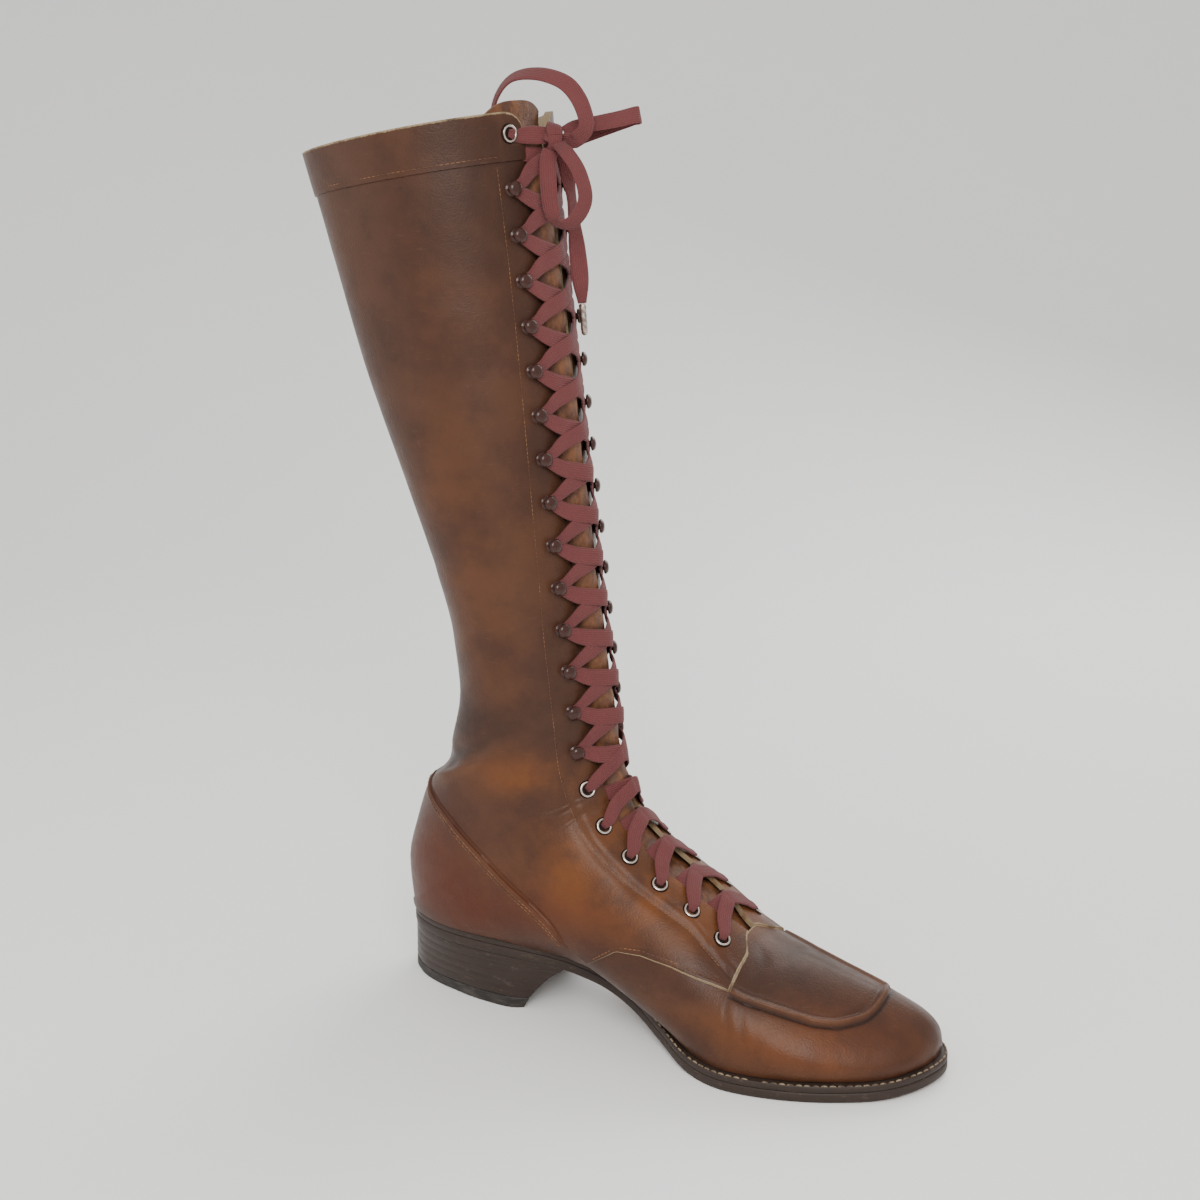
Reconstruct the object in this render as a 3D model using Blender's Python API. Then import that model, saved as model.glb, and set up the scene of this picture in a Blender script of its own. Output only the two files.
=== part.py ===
"""Victorian lace-up boot for the right foot, built as separate leather and metal pieces.

Sizes in the tables are millimetres in the boot's own frame: +X to the toe, +Y to the
foot's inner side, +Z up, floor at z = 0 and x = 0 near the back of the heel. Every mesh
is moved by ORIGIN_X and scaled to metres as it is made, so the origin lies on the
floor in the middle of the heel.
"""
import math

import bmesh
import bpy
import numpy as np
from mathutils import Matrix, Vector
from mathutils.bvhtree import BVHTree

MM = 0.001
ORIGIN_X = 34.0

# Driving sizes
CONTACT_GAP = 0.3
OUTSOLE_THICKNESS = 4.7
WELT_THICKNESS = 3.0
WELT_WIDTH_INSIDE = 3.3
INSOLE_HEIGHT = 5.5
INSOLE_CLEARANCE = 0.95
TOP_LIFT_THICKNESS = 6.0
EDGE_ROUND = 0.7
SOLE_EDGE = OUTSOLE_THICKNESS + CONTACT_GAP + WELT_THICKNESS
FEATHER_RISE = SOLE_EDGE + CONTACT_GAP
BREAST_TOP_X = 92.0

# Wall of the upper, measured from the lining's own surface
LINING_SHAFT = 1.4
LINING_VAMP = 1.9
QUARTER_LIFT = 0.9
COUNTER_LIFT = 0.8
CUFF_LIFT = 0.7
APRON_LIFT = 1.5
TONGUE_GAP = 1.2
TONGUE_THICKNESS = 2.0

# Slit, facings and lacing
SLIT_HALF = 10.0
LACING_ARC = 18.2
FIRST_EYELET_RUN = 13.0
EYELET_PITCH = 18.4
HOOK_PITCH = 19.0
TOP_EYELET_PITCH = 22.3
INSTEP_EYELETS = 6
HOOKS = 14
RAY_START = 8.0
FLAP_CORNER = 11.0
CUFF_DEPTH = 20.0

# Lace
LACE_WIDTH = 7.0
LACE_THICKNESS = 1.2
LACE_GAP = 0.9
LACE_BULGE = 2.4
LACE_TURN_ARC = 12.6
CORD_RADIUS = 1.8
CORD_STEP = 7.4

# Outline of the sole's edge seen from above: x, y. It runs from the back of the heel
# along the outer side to the toe, and back along the inner side.
SOLE_OUTLINE = (
    (0.6, 0.0), (3.2, -14.5), (13.4, -25.5), (33.0, -32.6), (58.0, -33.0), (80.0, -29.0),
    (97.0, -23.2), (112.0, -19.9), (128.0, -22.6), (146.0, -32.2), (161.0, -42.2),
    (176.0, -48.0), (190.0, -48.8), (210.0, -44.8), (230.0, -37.0), (249.0, -26.2),
    (260.5, -12.5), (266.0, 2.0), (264.5, 12.5),
    (257.0, 21.5), (240.0, 31.0), (214.0, 36.2), (186.0, 33.8), (155.0, 25.5), (120.0, 20.0),
    (88.0, 24.0), (58.0, 31.0), (32.0, 31.6), (14.0, 25.0), (4.0, 14.0),
)

# Height of the outsole's underside: x, z. Heel seat, waist, flat tread, toe spring.
SOLE_UNDERSIDE = (
    (0.0, 30.0), (30.0, 30.0), (60.0, 29.3), (80.0, 27.3), (92.0, 24.5), (102.0, 21.0),
    (113.0, 16.6), (127.0, 10.8), (141.0, 5.8), (153.0, 2.6), (166.0, 0.5), (176.0, 0.0),
    (222.0, 0.0), (238.0, 0.3), (250.0, 0.9), (262.0, 1.8), (270.0, 2.6),
)

# How far the welt stands out past the upper: x, reach
WELT_REACH = ((0.0, 1.0), (90.0, 1.2), (150.0, 3.0), (270.0, 3.2))

# Half outline of the heel where it meets the floor: x, y
HEEL_FOOT = (
    (-4.4, 0.0), (-2.2, -9.6), (9.2, -18.8), (19.5, -22.8), (29.0, -25.0), (43.0, -27.8),
    (57.0, -28.6), (66.0, -28.2), (70.0, -25.2),
)
# How far the heel's breast curves back at its quarter points and its middle
BREAST_CURVE = (3.0, 4.0)

# Sections of the upper, from the toe to above the collar. Each lies in a plane that is
# square to the side view and joins a front point to a base point. Where base_z is None
# the base is on the sole's feather line and the section is open there. out and inn are
# the half widths on the outer and inner side, widest is the share of the section's
# depth where they are reached, and top and low are the powers of its two rounds.
SECTION_COLUMNS = ("front_x", "front_z", "base_x", "base_z", "mid_y", "out", "inn",
                   "widest", "top", "low", "rows")
SECTIONS = (
    (262.8, 16.6, 262.8, None, 5.5, 5.0, 5.0, 0.60, 1.8, 2.6, 1),
    (259.6, 22.6, 259.6, None, 5.2, 14.5, 12.5, 0.66, 1.6, 2.8, 2),
    (252.6, 28.6, 252.6, None, 4.6, 24.0, 20.5, 0.74, 1.45, 2.8, 2),
    (241.4, 34.0, 241.4, None, 3.4, 31.8, 27.4, 0.78, 1.4, 2.8, 1),
    (238.4, 35.2, 238.4, None, 3.0, 33.4, 28.8, 0.78, 1.4, 2.8, 1),
    (235.4, 36.2, 235.4, None, 2.6, 34.8, 30.2, 0.78, 1.42, 2.8, 2),
    (217.0, 42.0, 217.0, None, 0.0, 41.2, 35.2, 0.74, 1.5, 2.8, 2),
    (198.0, 47.6, 198.0, None, -2.0, 43.6, 36.6, 0.68, 1.7, 2.7, 2),
    (182.4, 51.9, 182.0, None, -3.0, 43.6, 36.4, 0.62, 1.9, 2.6, 1),
    (181.6, 52.3, 181.0, None, -3.0, 43.5, 36.3, 0.62, 1.9, 2.6, 3),
    (157.0, 69.6, 146.0, None, -3.0, 41.0, 36.6, 0.58, 2.0, 2.4, 3),
    (130.0, 87.0, 108.0, None, -2.5, 38.4, 35.6, 0.56, 2.0, 2.3, 3),
    (115.0, 101.0, 68.0, None, -2.0, 36.8, 35.2, 0.54, 2.05, 2.3, 2),
    (109.3, 113.0, 28.0, None, -1.5, 36.4, 35.0, 0.52, 2.1, 2.3, 2),
    (107.0, 119.0, 8.0, None, -1.0, 36.0, 34.8, 0.50, 2.1, 2.3, 1),
    (105.8, 123.0, 2.6, 38.3, -1.0, 35.8, 34.6, 0.49, 2.1, 2.3, 2),
    (104.2, 130.0, 1.0, 58.0, -1.0, 35.4, 34.4, 0.48, 2.1, 2.3, 2),
    (102.9, 138.0, 6.6, 82.0, -1.0, 35.0, 34.2, 0.47, 2.1, 2.2, 2),
    (102.0, 146.0, 16.0, 104.0, -1.2, 34.8, 34.0, 0.47, 2.1, 2.15, 1),
    (101.5, 150.0, 21.6, 110.6, -1.3, 34.8, 34.0, 0.47, 2.1, 2.1, 1),
    (101.0, 154.0, 24.2, 117.0, -1.4, 34.8, 34.0, 0.47, 2.1, 2.1, 1),
    (99.9, 163.0, 29.8, 131.0, -1.6, 35.0, 34.2, 0.48, 2.1, 2.1, 2),
    (98.3, 175.0, 35.2, 155.0, -1.8, 35.8, 35.0, 0.49, 2.1, 2.1, 2),
    (96.0, 192.0, 33.7, 182.0, -2.0, 37.6, 36.8, 0.50, 2.1, 2.1, 2),
    (93.6, 214.0, 26.3, 213.0, -2.0, 40.0, 39.4, 0.50, 2.1, 2.1, 2),
    (90.0, 250.0, 13.4, 250.0, -2.0, 42.6, 42.0, 0.50, 2.1, 2.1, 2),
    (85.2, 300.0, -5.4, 300.0, -2.0, 45.6, 45.2, 0.50, 2.1, 2.1, 2),
    (79.8, 352.0, -19.2, 347.0, -2.0, 47.8, 47.6, 0.50, 2.1, 2.1, 2),
    (76.0, 389.4, -27.1, 373.4, -2.0, 48.8, 48.8, 0.50, 2.1, 2.1, 1),
    (75.9, 390.2, -27.4, 374.2, -2.0, 48.8, 48.8, 0.50, 2.1, 2.1, 3),
    (74.4, 410.0, -32.8, 392.0, -2.0, 49.6, 49.8, 0.50, 2.1, 2.1, 1),
    (73.6, 420.0, -35.5, 401.0, -2.0, 50.0, 50.2, 0.50, 2.1, 2.1, 0),
)
APRON_SECTION = 4
THROAT_SECTION = 9
BACK_SECTION = 15
ANKLE_SECTION = 21
NARROWING_SECTION = 27
CUFF_SECTION = 29
COLLAR_SECTION = 30

# Seam line of the upper in the side view, from the toe back: apron seam, lower edge of
# the quarter, waist, then the counter's seam up to the back: x, z, spread. spread is the
# width of the step or ridge there.
SEAM_LINE = (
    (264.0, 14.0, 2.0), (250.0, 22.0, 2.2), (242.0, 28.5, 2.4), (238.0, 31.2, 2.6),
    (234.0, 30.7, 2.6), (226.0, 30.0, 2.6), (217.0, 31.4, 2.6), (202.0, 35.7, 2.6),
    (191.0, 38.6, 2.4), (184.0, 40.8, 1.6), (178.0, 42.4, 1.0), (167.0, 45.4, 1.0),
    (155.0, 49.0, 1.0), (141.0, 51.4, 1.0), (129.0, 51.0, 1.0), (119.0, 44.0, 1.2),
    (112.0, 39.0, 1.4), (104.0, 43.0, 1.4), (93.7, 56.0, 1.4), (85.2, 62.2, 1.4),
    (75.2, 68.6, 1.4), (63.3, 76.8, 1.4), (52.3, 85.2, 1.4), (39.8, 95.5, 1.4),
    (26.3, 103.1, 1.4), (18.0, 109.0, 1.4), (25.0, 124.0, 1.4),
    (44.0, 150.0, 1.4), (50.0, 190.0, 1.4), (44.0, 250.0, 1.4), (34.0, 330.0, 1.4),
    (26.0, 425.0, 1.4),
)
QUARTER_EDGE_X = (108.0, 182.0)
COUNTER_SEAM_X = (20.0, 104.0)
APRON_END_X = 240.5
SEAM_MARGIN_SOLE = 5.0
SEAM_MARGIN_BACK = 14.0

SLIT_COLUMNS = 2
TOP_COLUMNS = 4
TOP_CROWDING = 1.35
LOW_COLUMNS = 4
OUTLINE_STEPS = 12


def remove_everything():
    """Empty the scene."""
    for item in list(bpy.data.objects):
        bpy.data.objects.remove(item, do_unlink=True)


def smooth(table, value, column=1, key=0):
    """Read a table at a value with a monotone cubic, which never overshoots its rows."""
    xs = np.array([row[key] for row in table], float)
    ys = np.array([row[column] for row in table], float)
    if xs[0] > xs[-1]:
        xs, ys = xs[::-1], ys[::-1]
    value = min(max(value, xs[0]), xs[-1])
    steps = np.diff(xs)
    slopes = np.diff(ys) / steps
    grads = np.zeros(len(xs))
    for i in range(1, len(xs) - 1):
        if slopes[i - 1] * slopes[i] > 0.0:
            before = 2.0 * steps[i] + steps[i - 1]
            after = steps[i] + 2.0 * steps[i - 1]
            grads[i] = (before + after) / (before / slopes[i - 1] + after / slopes[i])
    grads[0], grads[-1] = slopes[0], slopes[-1]
    i = min(int(np.searchsorted(xs, value, side="right")) - 1, len(steps) - 1)
    u = (value - xs[i]) / steps[i]
    return float(
        ys[i] * (1 + 2 * u) * (1 - u) ** 2 + ys[i + 1] * u * u * (3 - 2 * u)
        + steps[i] * (grads[i] * u * (1 - u) ** 2 + grads[i + 1] * u * u * (u - 1)))


def closed_curve(points, steps):
    """Points on a closed Catmull-Rom curve through the given ones."""
    points = np.array(points, float)
    count = len(points)
    curve = []
    for i in range(count):
        a, b, c, d = (points[(i + k) % count] for k in (-1, 0, 1, 2))
        for k in range(steps):
            u = k / steps
            curve.append(0.5 * (2 * b + (c - a) * u + (2 * a - 5 * b + 4 * c - d) * u * u
                                + (3 * b - a - 3 * c + d) * u ** 3))
    return np.array(curve)


def open_curve(points, spacing):
    """Points at even spacing on a smooth curve through the given ones."""
    points = np.array(points, float)
    ends = np.vstack([2 * points[0] - points[1], points, 2 * points[-1] - points[-2]])
    fine = []
    for i in range(1, len(ends) - 2):
        a, b, c, d = ends[i - 1], ends[i], ends[i + 1], ends[i + 2]
        for u in np.linspace(0.0, 1.0, 16, endpoint=False):
            fine.append(0.5 * (2 * b + (c - a) * u + (2 * a - 5 * b + 4 * c - d) * u * u
                               + (3 * b - a - 3 * c + d) * u ** 3))
    fine = np.array(fine + [points[-1]])
    run = np.concatenate([[0.0], np.cumsum(np.linalg.norm(np.diff(fine, axis=0), axis=1))])
    count = max(3, int(round(run[-1] / spacing)) + 1)
    at = np.linspace(0.0, run[-1], count)
    return np.stack([np.interp(at, run, fine[:, k]) for k in range(3)], axis=1)


def inset(outline, reach):
    """The outline moved inward by reach(x), along its own normals."""
    ahead = np.roll(outline, -1, axis=0)
    behind = np.roll(outline, 1, axis=0)
    along = ahead - behind
    along /= np.linalg.norm(along, axis=1)[:, None]
    inward = np.stack([-along[:, 1], along[:, 0]], axis=1)
    return outline + inward * np.array([reach(x) for x in outline[:, 0]])[:, None]


def edge_y(outline, x, side):
    """Where the outline is at x on one side: -1 the outer side, +1 the inner side."""
    tip = int(np.argmax(outline[:, 0]))
    back = int(np.argmin(outline[:, 0]))
    turned = np.roll(outline, -back, axis=0)
    tip = (tip - back) % len(outline)
    half = turned[:tip + 1] if side < 0 else np.vstack([turned[tip:], turned[:1]])[::-1]
    return float(np.interp(x, half[:, 0], half[:, 1]))


SOLE = closed_curve(SOLE_OUTLINE, OUTLINE_STEPS)
FEATHER = inset(SOLE, lambda x: smooth(WELT_REACH, x))


def underside(x):
    """Height of the outsole's underside at x."""
    return smooth(SOLE_UNDERSIDE, x)


def leather(name, colour, roughness):
    """A plain leather material."""
    material = bpy.data.materials.new(name)
    material.use_nodes = True
    shader = material.node_tree.nodes["Principled BSDF"]
    shader.inputs["Base Color"].default_value = (*colour, 1.0)
    shader.inputs["Roughness"].default_value = roughness
    shader.inputs["Metallic"].default_value = 0.0
    return material


def metal(name, colour, roughness):
    """A plain metal material."""
    material = leather(name, colour, roughness)
    material.node_tree.nodes["Principled BSDF"].inputs["Metallic"].default_value = 1.0
    return material


def to_metres(point):
    """A table point in millimetres as a point of the model in metres."""
    return Vector(((point[0] - ORIGIN_X) * MM, point[1] * MM, point[2] * MM))


def make_piece(name, points, faces, material):
    """An object from points in millimetres, welded, with its faces turned out."""
    mesh = bpy.data.meshes.new(name)
    mesh.from_pydata([to_metres(p) for p in points], [], faces)
    work = bmesh.new()
    work.from_mesh(mesh)
    bmesh.ops.remove_doubles(work, verts=work.verts, dist=0.00001)
    bmesh.ops.dissolve_degenerate(work, edges=work.edges, dist=0.00001)
    bmesh.ops.recalc_face_normals(work, faces=work.faces)
    if work.calc_volume(signed=True) < 0.0:
        bmesh.ops.reverse_faces(work, faces=work.faces)
    work.to_mesh(mesh)
    work.free()
    mesh.materials.append(material)
    mesh.shade_smooth()
    mesh.set_sharp_from_angle(angle=math.radians(35.0))
    piece = bpy.data.objects.new(name, mesh)
    bpy.context.collection.objects.link(piece)
    return piece


def loft(rings, closed_along=False, capped=True):
    """Points and faces of a skin over rings of equal count."""
    count = len(rings[0])
    points = [p for ring in rings for p in ring]
    faces = []
    spans = len(rings) if closed_along else len(rings) - 1
    for i in range(spans):
        a, b = i * count, ((i + 1) % len(rings)) * count
        for k in range(count):
            n = (k + 1) % count
            faces.append((a + k, a + n, b + n, b + k))
    if capped and not closed_along:
        faces.append(tuple(range(count))[::-1])
        faces.append(tuple((len(rings) - 1) * count + k for k in range(count)))
    return points, faces


def plate(name, outline, low, high, stations, rounds, material):
    """A plate under the foot: low(x) to high(x), with its edges rounded by rounds."""
    back = outline[:, 0].min()
    tip = outline[:, 0].max()
    rings = []
    for i in range(stations + 1):
        x = back + 0.3 + (tip - back - 0.6) * 0.5 * (1 - math.cos(math.pi * i / stations))
        outer, inner = edge_y(outline, x, -1), edge_y(outline, x, 1)
        bottom, top = low(x), high(x)
        trim = min(rounds, 0.3 * (inner - outer))
        rings.append([
            (x, outer + trim, bottom), (x, outer, bottom + rounds), (x, outer, top - rounds),
            (x, outer + trim, top), (x, inner - trim, top), (x, inner, top - rounds),
            (x, inner, bottom + rounds), (x, inner - trim, bottom)])
    return make_piece(name, *loft(rings), material)


def build_outsole(material):
    """The leather outsole, with its waist arch and toe spring."""
    return plate("outsole", SOLE, underside, lambda x: underside(x) + OUTSOLE_THICKNESS,
                 36, EDGE_ROUND, material)


def build_insole(material):
    """The insole board: inside the welt's ring and the upper's wall, on the outsole."""
    outline = inset(FEATHER, lambda x: WELT_WIDTH_INSIDE + INSOLE_CLEARANCE)
    rise = OUTSOLE_THICKNESS + CONTACT_GAP
    return plate("insole", outline, lambda x: underside(x) + rise,
                 lambda x: underside(x) + rise + INSOLE_HEIGHT, 26, EDGE_ROUND, material)


def build_welt(material):
    """The welt: a strip all the way round between the upper and the outsole."""
    within = inset(FEATHER, lambda x: WELT_WIDTH_INSIDE)
    rise = OUTSOLE_THICKNESS + CONTACT_GAP
    rings = []
    for i in range(0, len(SOLE), 6):
        out, inn = SOLE[i], within[i]
        low_out, low_in = underside(out[0]) + rise, underside(inn[0]) + rise
        trim = out + (inn - out) * 0.1
        rings.append([
            (out[0], out[1], low_out), (out[0], out[1], low_out + WELT_THICKNESS - EDGE_ROUND),
            (trim[0], trim[1], low_out + WELT_THICKNESS),
            (inn[0], inn[1], low_in + WELT_THICKNESS), (inn[0], inn[1], low_in)])
    return make_piece("welt", *loft(rings, closed_along=True), material)


def heel_ring(level, inset_by=0.0):
    """Outline of the heel at a level, from 0 at the floor to 1 under the outsole.

    It runs from the middle of the breast by the outer side round to the inner side.
    """
    samples = 9
    foot = np.array(HEEL_FOOT, float)
    run = np.concatenate([[0], np.cumsum(np.linalg.norm(np.diff(foot, axis=0), axis=1))])
    at = np.linspace(0.0, run[-1], samples)
    foot = np.stack([np.interp(at, run, foot[:, 0]), np.interp(at, run, foot[:, 1])], axis=1)
    back = SOLE[:, 0].min() + 0.6
    ring = []
    for side in (-1, 1):
        half = []
        for k in range(samples):
            share = k / (samples - 1)
            x_top = back + (BREAST_TOP_X - back) * (1 - math.cos(share * math.pi / 2)) ** 0.9
            y_top = edge_y(SOLE, x_top, side) - side * (0.6 if k else 0.0)
            if k == 0:
                y_top = 0.0
            blend = level ** (1.0 + 0.2 * share * share)
            x = foot[k, 0] + (x_top - foot[k, 0]) * blend
            y = -side * foot[k, 1] + (y_top + side * foot[k, 1]) * blend
            half.append((x, y))
        breast = (half[-1][0] - BREAST_CURVE[0], half[-1][1] * 0.45)
        ring += [breast] + half[::-1] if side < 0 else half[1:] + [breast]
    ring.insert(0, (half[-1][0] - BREAST_CURVE[1], 0.0))
    middle = np.array([40.0, 0.0])
    ring = [middle + (np.array(p) - middle) * (1 - inset_by / 30.0) for p in ring]
    return ring


def build_heel(stack_material, lift_material):
    """The heel: stacked leather under the seat, and its last lift on the floor."""
    top_height = underside(40.0) - CONTACT_GAP
    lift_levels = (0.0, TOP_LIFT_THICKNESS)
    rings = [[(*p, z) for p in heel_ring(z / top_height)] for z in lift_levels]
    make_piece("heel_top_lift", *loft(rings), lift_material)
    first = TOP_LIFT_THICKNESS + CONTACT_GAP
    rings = []
    for share in (0.0, 0.33, 0.66, 1.0):
        level = (first + (top_height - first) * share) / top_height
        ring = []
        for x, y in heel_ring(level, 0.25):
            ceiling = underside(x) - CONTACT_GAP
            ring.append((x, y, first + (ceiling - first) * share))
        rings.append(ring)
    points, faces = loft(rings, capped=False)
    count = len(rings[0])
    for start in (0, (len(rings) - 1) * count):
        for k in range(count // 2):
            quad = (k, k + 1, count - k - 1, (count - k) % count)
            faces.append([start + n for n in dict.fromkeys(quad)])
    make_piece("heel_stack", points, faces, stack_material)


class Shell:
    """The lining surface of the upper as rows of sections, read by row and by arc."""

    def __init__(self):
        rows = [dict(zip(SECTION_COLUMNS, row)) for row in SECTIONS]
        keys = [0.0]
        for a, b in zip(rows, rows[1:]):
            step = math.hypot(b["front_x"] - a["front_x"], b["front_z"] - a["front_z"])
            step += 0.5 * abs(b["base_x"] - a["base_x"])
            keys.append(keys[-1] + step)
        self.keys = keys
        self.rows = rows
        self.tables = {}
        for name in SECTION_COLUMNS[:-1]:
            if name != "base_z":
                self.tables[name] = [(k, r[name]) for k, r in zip(keys, rows)]
        self.tables["base_z"] = [(k, r["base_z"]) for k, r in zip(keys, rows)
                                 if r["base_z"] is not None]
        self.back_key = keys[BACK_SECTION]
        self.cache = {}

    def value(self, name, key):
        """One column of the section table, read smoothly."""
        return smooth(self.tables[name], key)

    def section(self, key, side):
        """Points of a half section and their arc lengths, from the ridge to the base."""
        if (key, side) in self.cache:
            return self.cache[key, side]
        front = np.array([self.value("front_x", key), self.value("front_z", key)])
        base_x = self.value("base_x", key)
        mid = self.value("mid_y", key)
        width = self.value("out" if side < 0 else "inn", key)
        if key < self.back_key - 1e-6:
            base = np.array([base_x, underside(base_x) + FEATHER_RISE])
            foot = abs(edge_y(FEATHER, base_x, side) - mid)
            width = max(width, foot * 1.02 + 0.05)
        else:
            base = np.array([base_x, self.value("base_z", key)])
            foot = 0.0
        depth = float(np.linalg.norm(base - front))
        along = (base - front) / depth
        widest = self.value("widest", key) * depth
        top, low = self.value("top", key), self.value("low", key)
        cut = 1.0 - (foot / width) ** low
        down, across = [], []
        for angle in np.linspace(0.0, math.pi / 2, 40):
            down.append(widest * (1.0 - math.cos(angle) ** (2.0 / top)))
            across.append(width * math.sin(angle) ** (2.0 / top))
        for angle in np.linspace(0.0, math.asin(math.sqrt(cut)), 41)[1:]:
            share = math.sin(angle) ** (2.0 / low) / cut ** (1.0 / low)
            down.append(widest + (depth - widest) * share)
            across.append(width * max(math.cos(angle), 0.0) ** (2.0 / low))
        down, across = np.array(down), np.array(across)
        points = np.stack([front[0] + along[0] * down, mid + side * across,
                           front[1] + along[1] * down], axis=1)
        if foot == 0.0:
            points[-1, 1] = mid
        run = np.linalg.norm(np.diff(points, axis=0), axis=1)
        run = np.concatenate([[0.0], np.cumsum(run)])
        result = (points, run, down, front, base, depth)
        self.cache[key, side] = result
        return result

    def at(self, key, arc):
        """The surface point at an arc distance from the ridge; the sign is the side."""
        points, run = self.section(key, -1 if arc < 0 else 1)[:2]
        return np.array([np.interp(abs(arc), run, points[:, k]) for k in range(3)])

    def normal(self, key, arc):
        """The outward normal of the surface."""
        ahead = self.at(key + 1.5, arc) - self.at(key - 1.5, arc)
        across = self.at(key, arc + 1.0) - self.at(key, arc - 1.0)
        out = np.cross(across, ahead)
        out /= np.linalg.norm(out)
        return out

    def seam_arc(self, key, side):
        """Arc distance of the seam line on a section, and the width of its step."""
        points, run, down, front, base, depth = self.section(key, side)
        along = (base - front) / depth
        across = np.array([-along[1], along[0]])
        best = None
        for a, b in zip(SEAM_LINE, SEAM_LINE[1:]):
            pa, pb = np.array(a[:2]) - front, np.array(b[:2]) - front
            da, db = float(pa @ across), float(pb @ across)
            if da * db <= 0.0 and da != db:
                u = da / (da - db)
                reach = float((pa + (pb - pa) * u) @ along)
                if 0.0 < reach and (best is None or reach < best[0]):
                    best = (reach, a[2] + (b[2] - a[2]) * u, a[0] + (b[0] - a[0]) * u)
        reach, spread, x = best
        arc = float(np.interp(reach, down, run))
        margin = SEAM_MARGIN_SOLE if key < self.back_key else SEAM_MARGIN_BACK
        return min(arc, run[-1] - min(margin, 0.4 * run[-1])), spread, x

    def key_of_row(self):
        """The row keys of the grid, with each section's share of rows."""
        keys = []
        for i, row in enumerate(self.rows[:-1]):
            for k in range(row["rows"]):
                keys.append(self.keys[i] + (self.keys[i + 1] - self.keys[i]) * k / row["rows"])
        return keys


SHELL = Shell()


def ease(value, low, high):
    """0 below low, 1 above high, smooth between."""
    u = min(max((value - low) / (high - low), 0.0), 1.0)
    return u * u * (3.0 - 2.0 * u)


def lining_depth(key):
    """How far the inner face lies below the lining surface's own shape."""
    throat = SHELL.keys[THROAT_SECTION]
    return LINING_VAMP + (LINING_SHAFT - LINING_VAMP) * ease(key, throat - 10.0, throat + 40.0)


def wall_lift(key, column, seam_column, seam_x):
    """How far the outer face stands out at a grid point: quarter, counter, cuff, apron."""
    keys = SHELL.keys
    above = column <= seam_column
    if key < keys[THROAT_SECTION] - 1e-6:
        on_line = column == seam_column and QUARTER_EDGE_X[1] < seam_x < APRON_END_X
        on_front = abs(key - keys[APRON_SECTION]) < 1e-6 and above
        return APRON_LIFT if on_line or on_front else 0.0
    lift = QUARTER_LIFT
    if not above and QUARTER_EDGE_X[0] < seam_x <= QUARTER_EDGE_X[1] + 1.0:
        lift = 0.0
    if not above and COUNTER_SEAM_X[0] < seam_x < COUNTER_SEAM_X[1]:
        lift += COUNTER_LIFT
    if key > keys[CUFF_SECTION] - 1e-6:
        lift += CUFF_LIFT
    return lift


def collar_drop(key, arc):
    """The key lowered near the slit above the cuff seam, so the flap's corner is round."""
    low, high = SHELL.keys[CUFF_SECTION], SHELL.keys[COLLAR_SECTION]
    inside = FLAP_CORNER - (abs(arc) - SLIT_HALF)
    if key <= low or inside <= 0.0:
        return key
    drop = FLAP_CORNER - math.sqrt(max(FLAP_CORNER ** 2 - min(inside, FLAP_CORNER) ** 2, 0.0))
    return low + (key - low) * (1.0 - 0.9 * drop / CUFF_DEPTH)


def half_columns(key, side):
    """Arc distances of the grid columns on one side, the seam's column and its x."""
    run = SHELL.section(key, side)[1]
    seam, spread, seam_x = SHELL.seam_arc(key, side)
    slit = min(SLIT_HALF, 0.25 * run[-1])
    spread = min(spread, 0.06 * run[-1])
    seam = max(seam, slit + 3.0 * spread)
    arcs = list(np.linspace(0.0, slit, SLIT_COLUMNS + 1))
    shares = np.linspace(0.0, 1.0, TOP_COLUMNS + 1)[1:] ** TOP_CROWDING
    arcs += list(slit + (seam - spread - slit) * shares)
    seam_column = len(arcs)
    arcs.append(seam)
    arcs += list(np.linspace(min(seam + spread, run[-1] - 2.0), run[-1], LOW_COLUMNS + 1))
    return arcs, seam_column, seam_x


def build_upper(material):
    """The upper: outer and inner face of one shell, joined round every edge."""
    keys = [k for k in SHELL.key_of_row() if k <= SHELL.keys[COLLAR_SECTION] + 1e-6]
    throat = keys.index(SHELL.keys[THROAT_SECTION])
    base_points, outer_lift, depth, level, index = [], [], [], [], {}
    places = {}
    for i, key in enumerate(keys):
        for side in (-1, 1):
            arcs, seam_column, seam_x = half_columns(key, side)
            for j, arc in enumerate(arcs):
                point = SHELL.at(collar_drop(key, arc), side * arc)
                spot = tuple(np.round(point, 3))
                if spot not in places:
                    places[spot] = len(base_points)
                    base_points.append(point)
                    outer_lift.append(wall_lift(key, j, seam_column, seam_x))
                    depth.append(lining_depth(key))
                index[i, side, j] = places[spot]
            if key < SHELL.back_key:
                level.append(places[spot])
    columns = len(half_columns(keys[0], -1)[0])
    faces = []
    for i in range(len(keys) - 1):
        for side in (-1, 1):
            for j in range(columns - 1):
                if i >= throat - 1 and j < SLIT_COLUMNS:
                    continue
                face = [index[i, side, j], index[i + 1, side, j],
                        index[i + 1, side, j + 1], index[i, side, j + 1]]
                faces.append(face[::-1] if side > 0 else face)
    for j in range(columns - 1):
        faces.append([index[0, -1, j], index[0, -1, j + 1], index[0, 1, j + 1], index[0, 1, j]])
    faces = [f for f in (list(dict.fromkeys(face)) for face in faces) if len(f) > 2]
    return shell_piece("upper", base_points, outer_lift, depth, level, faces, material)


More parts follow.
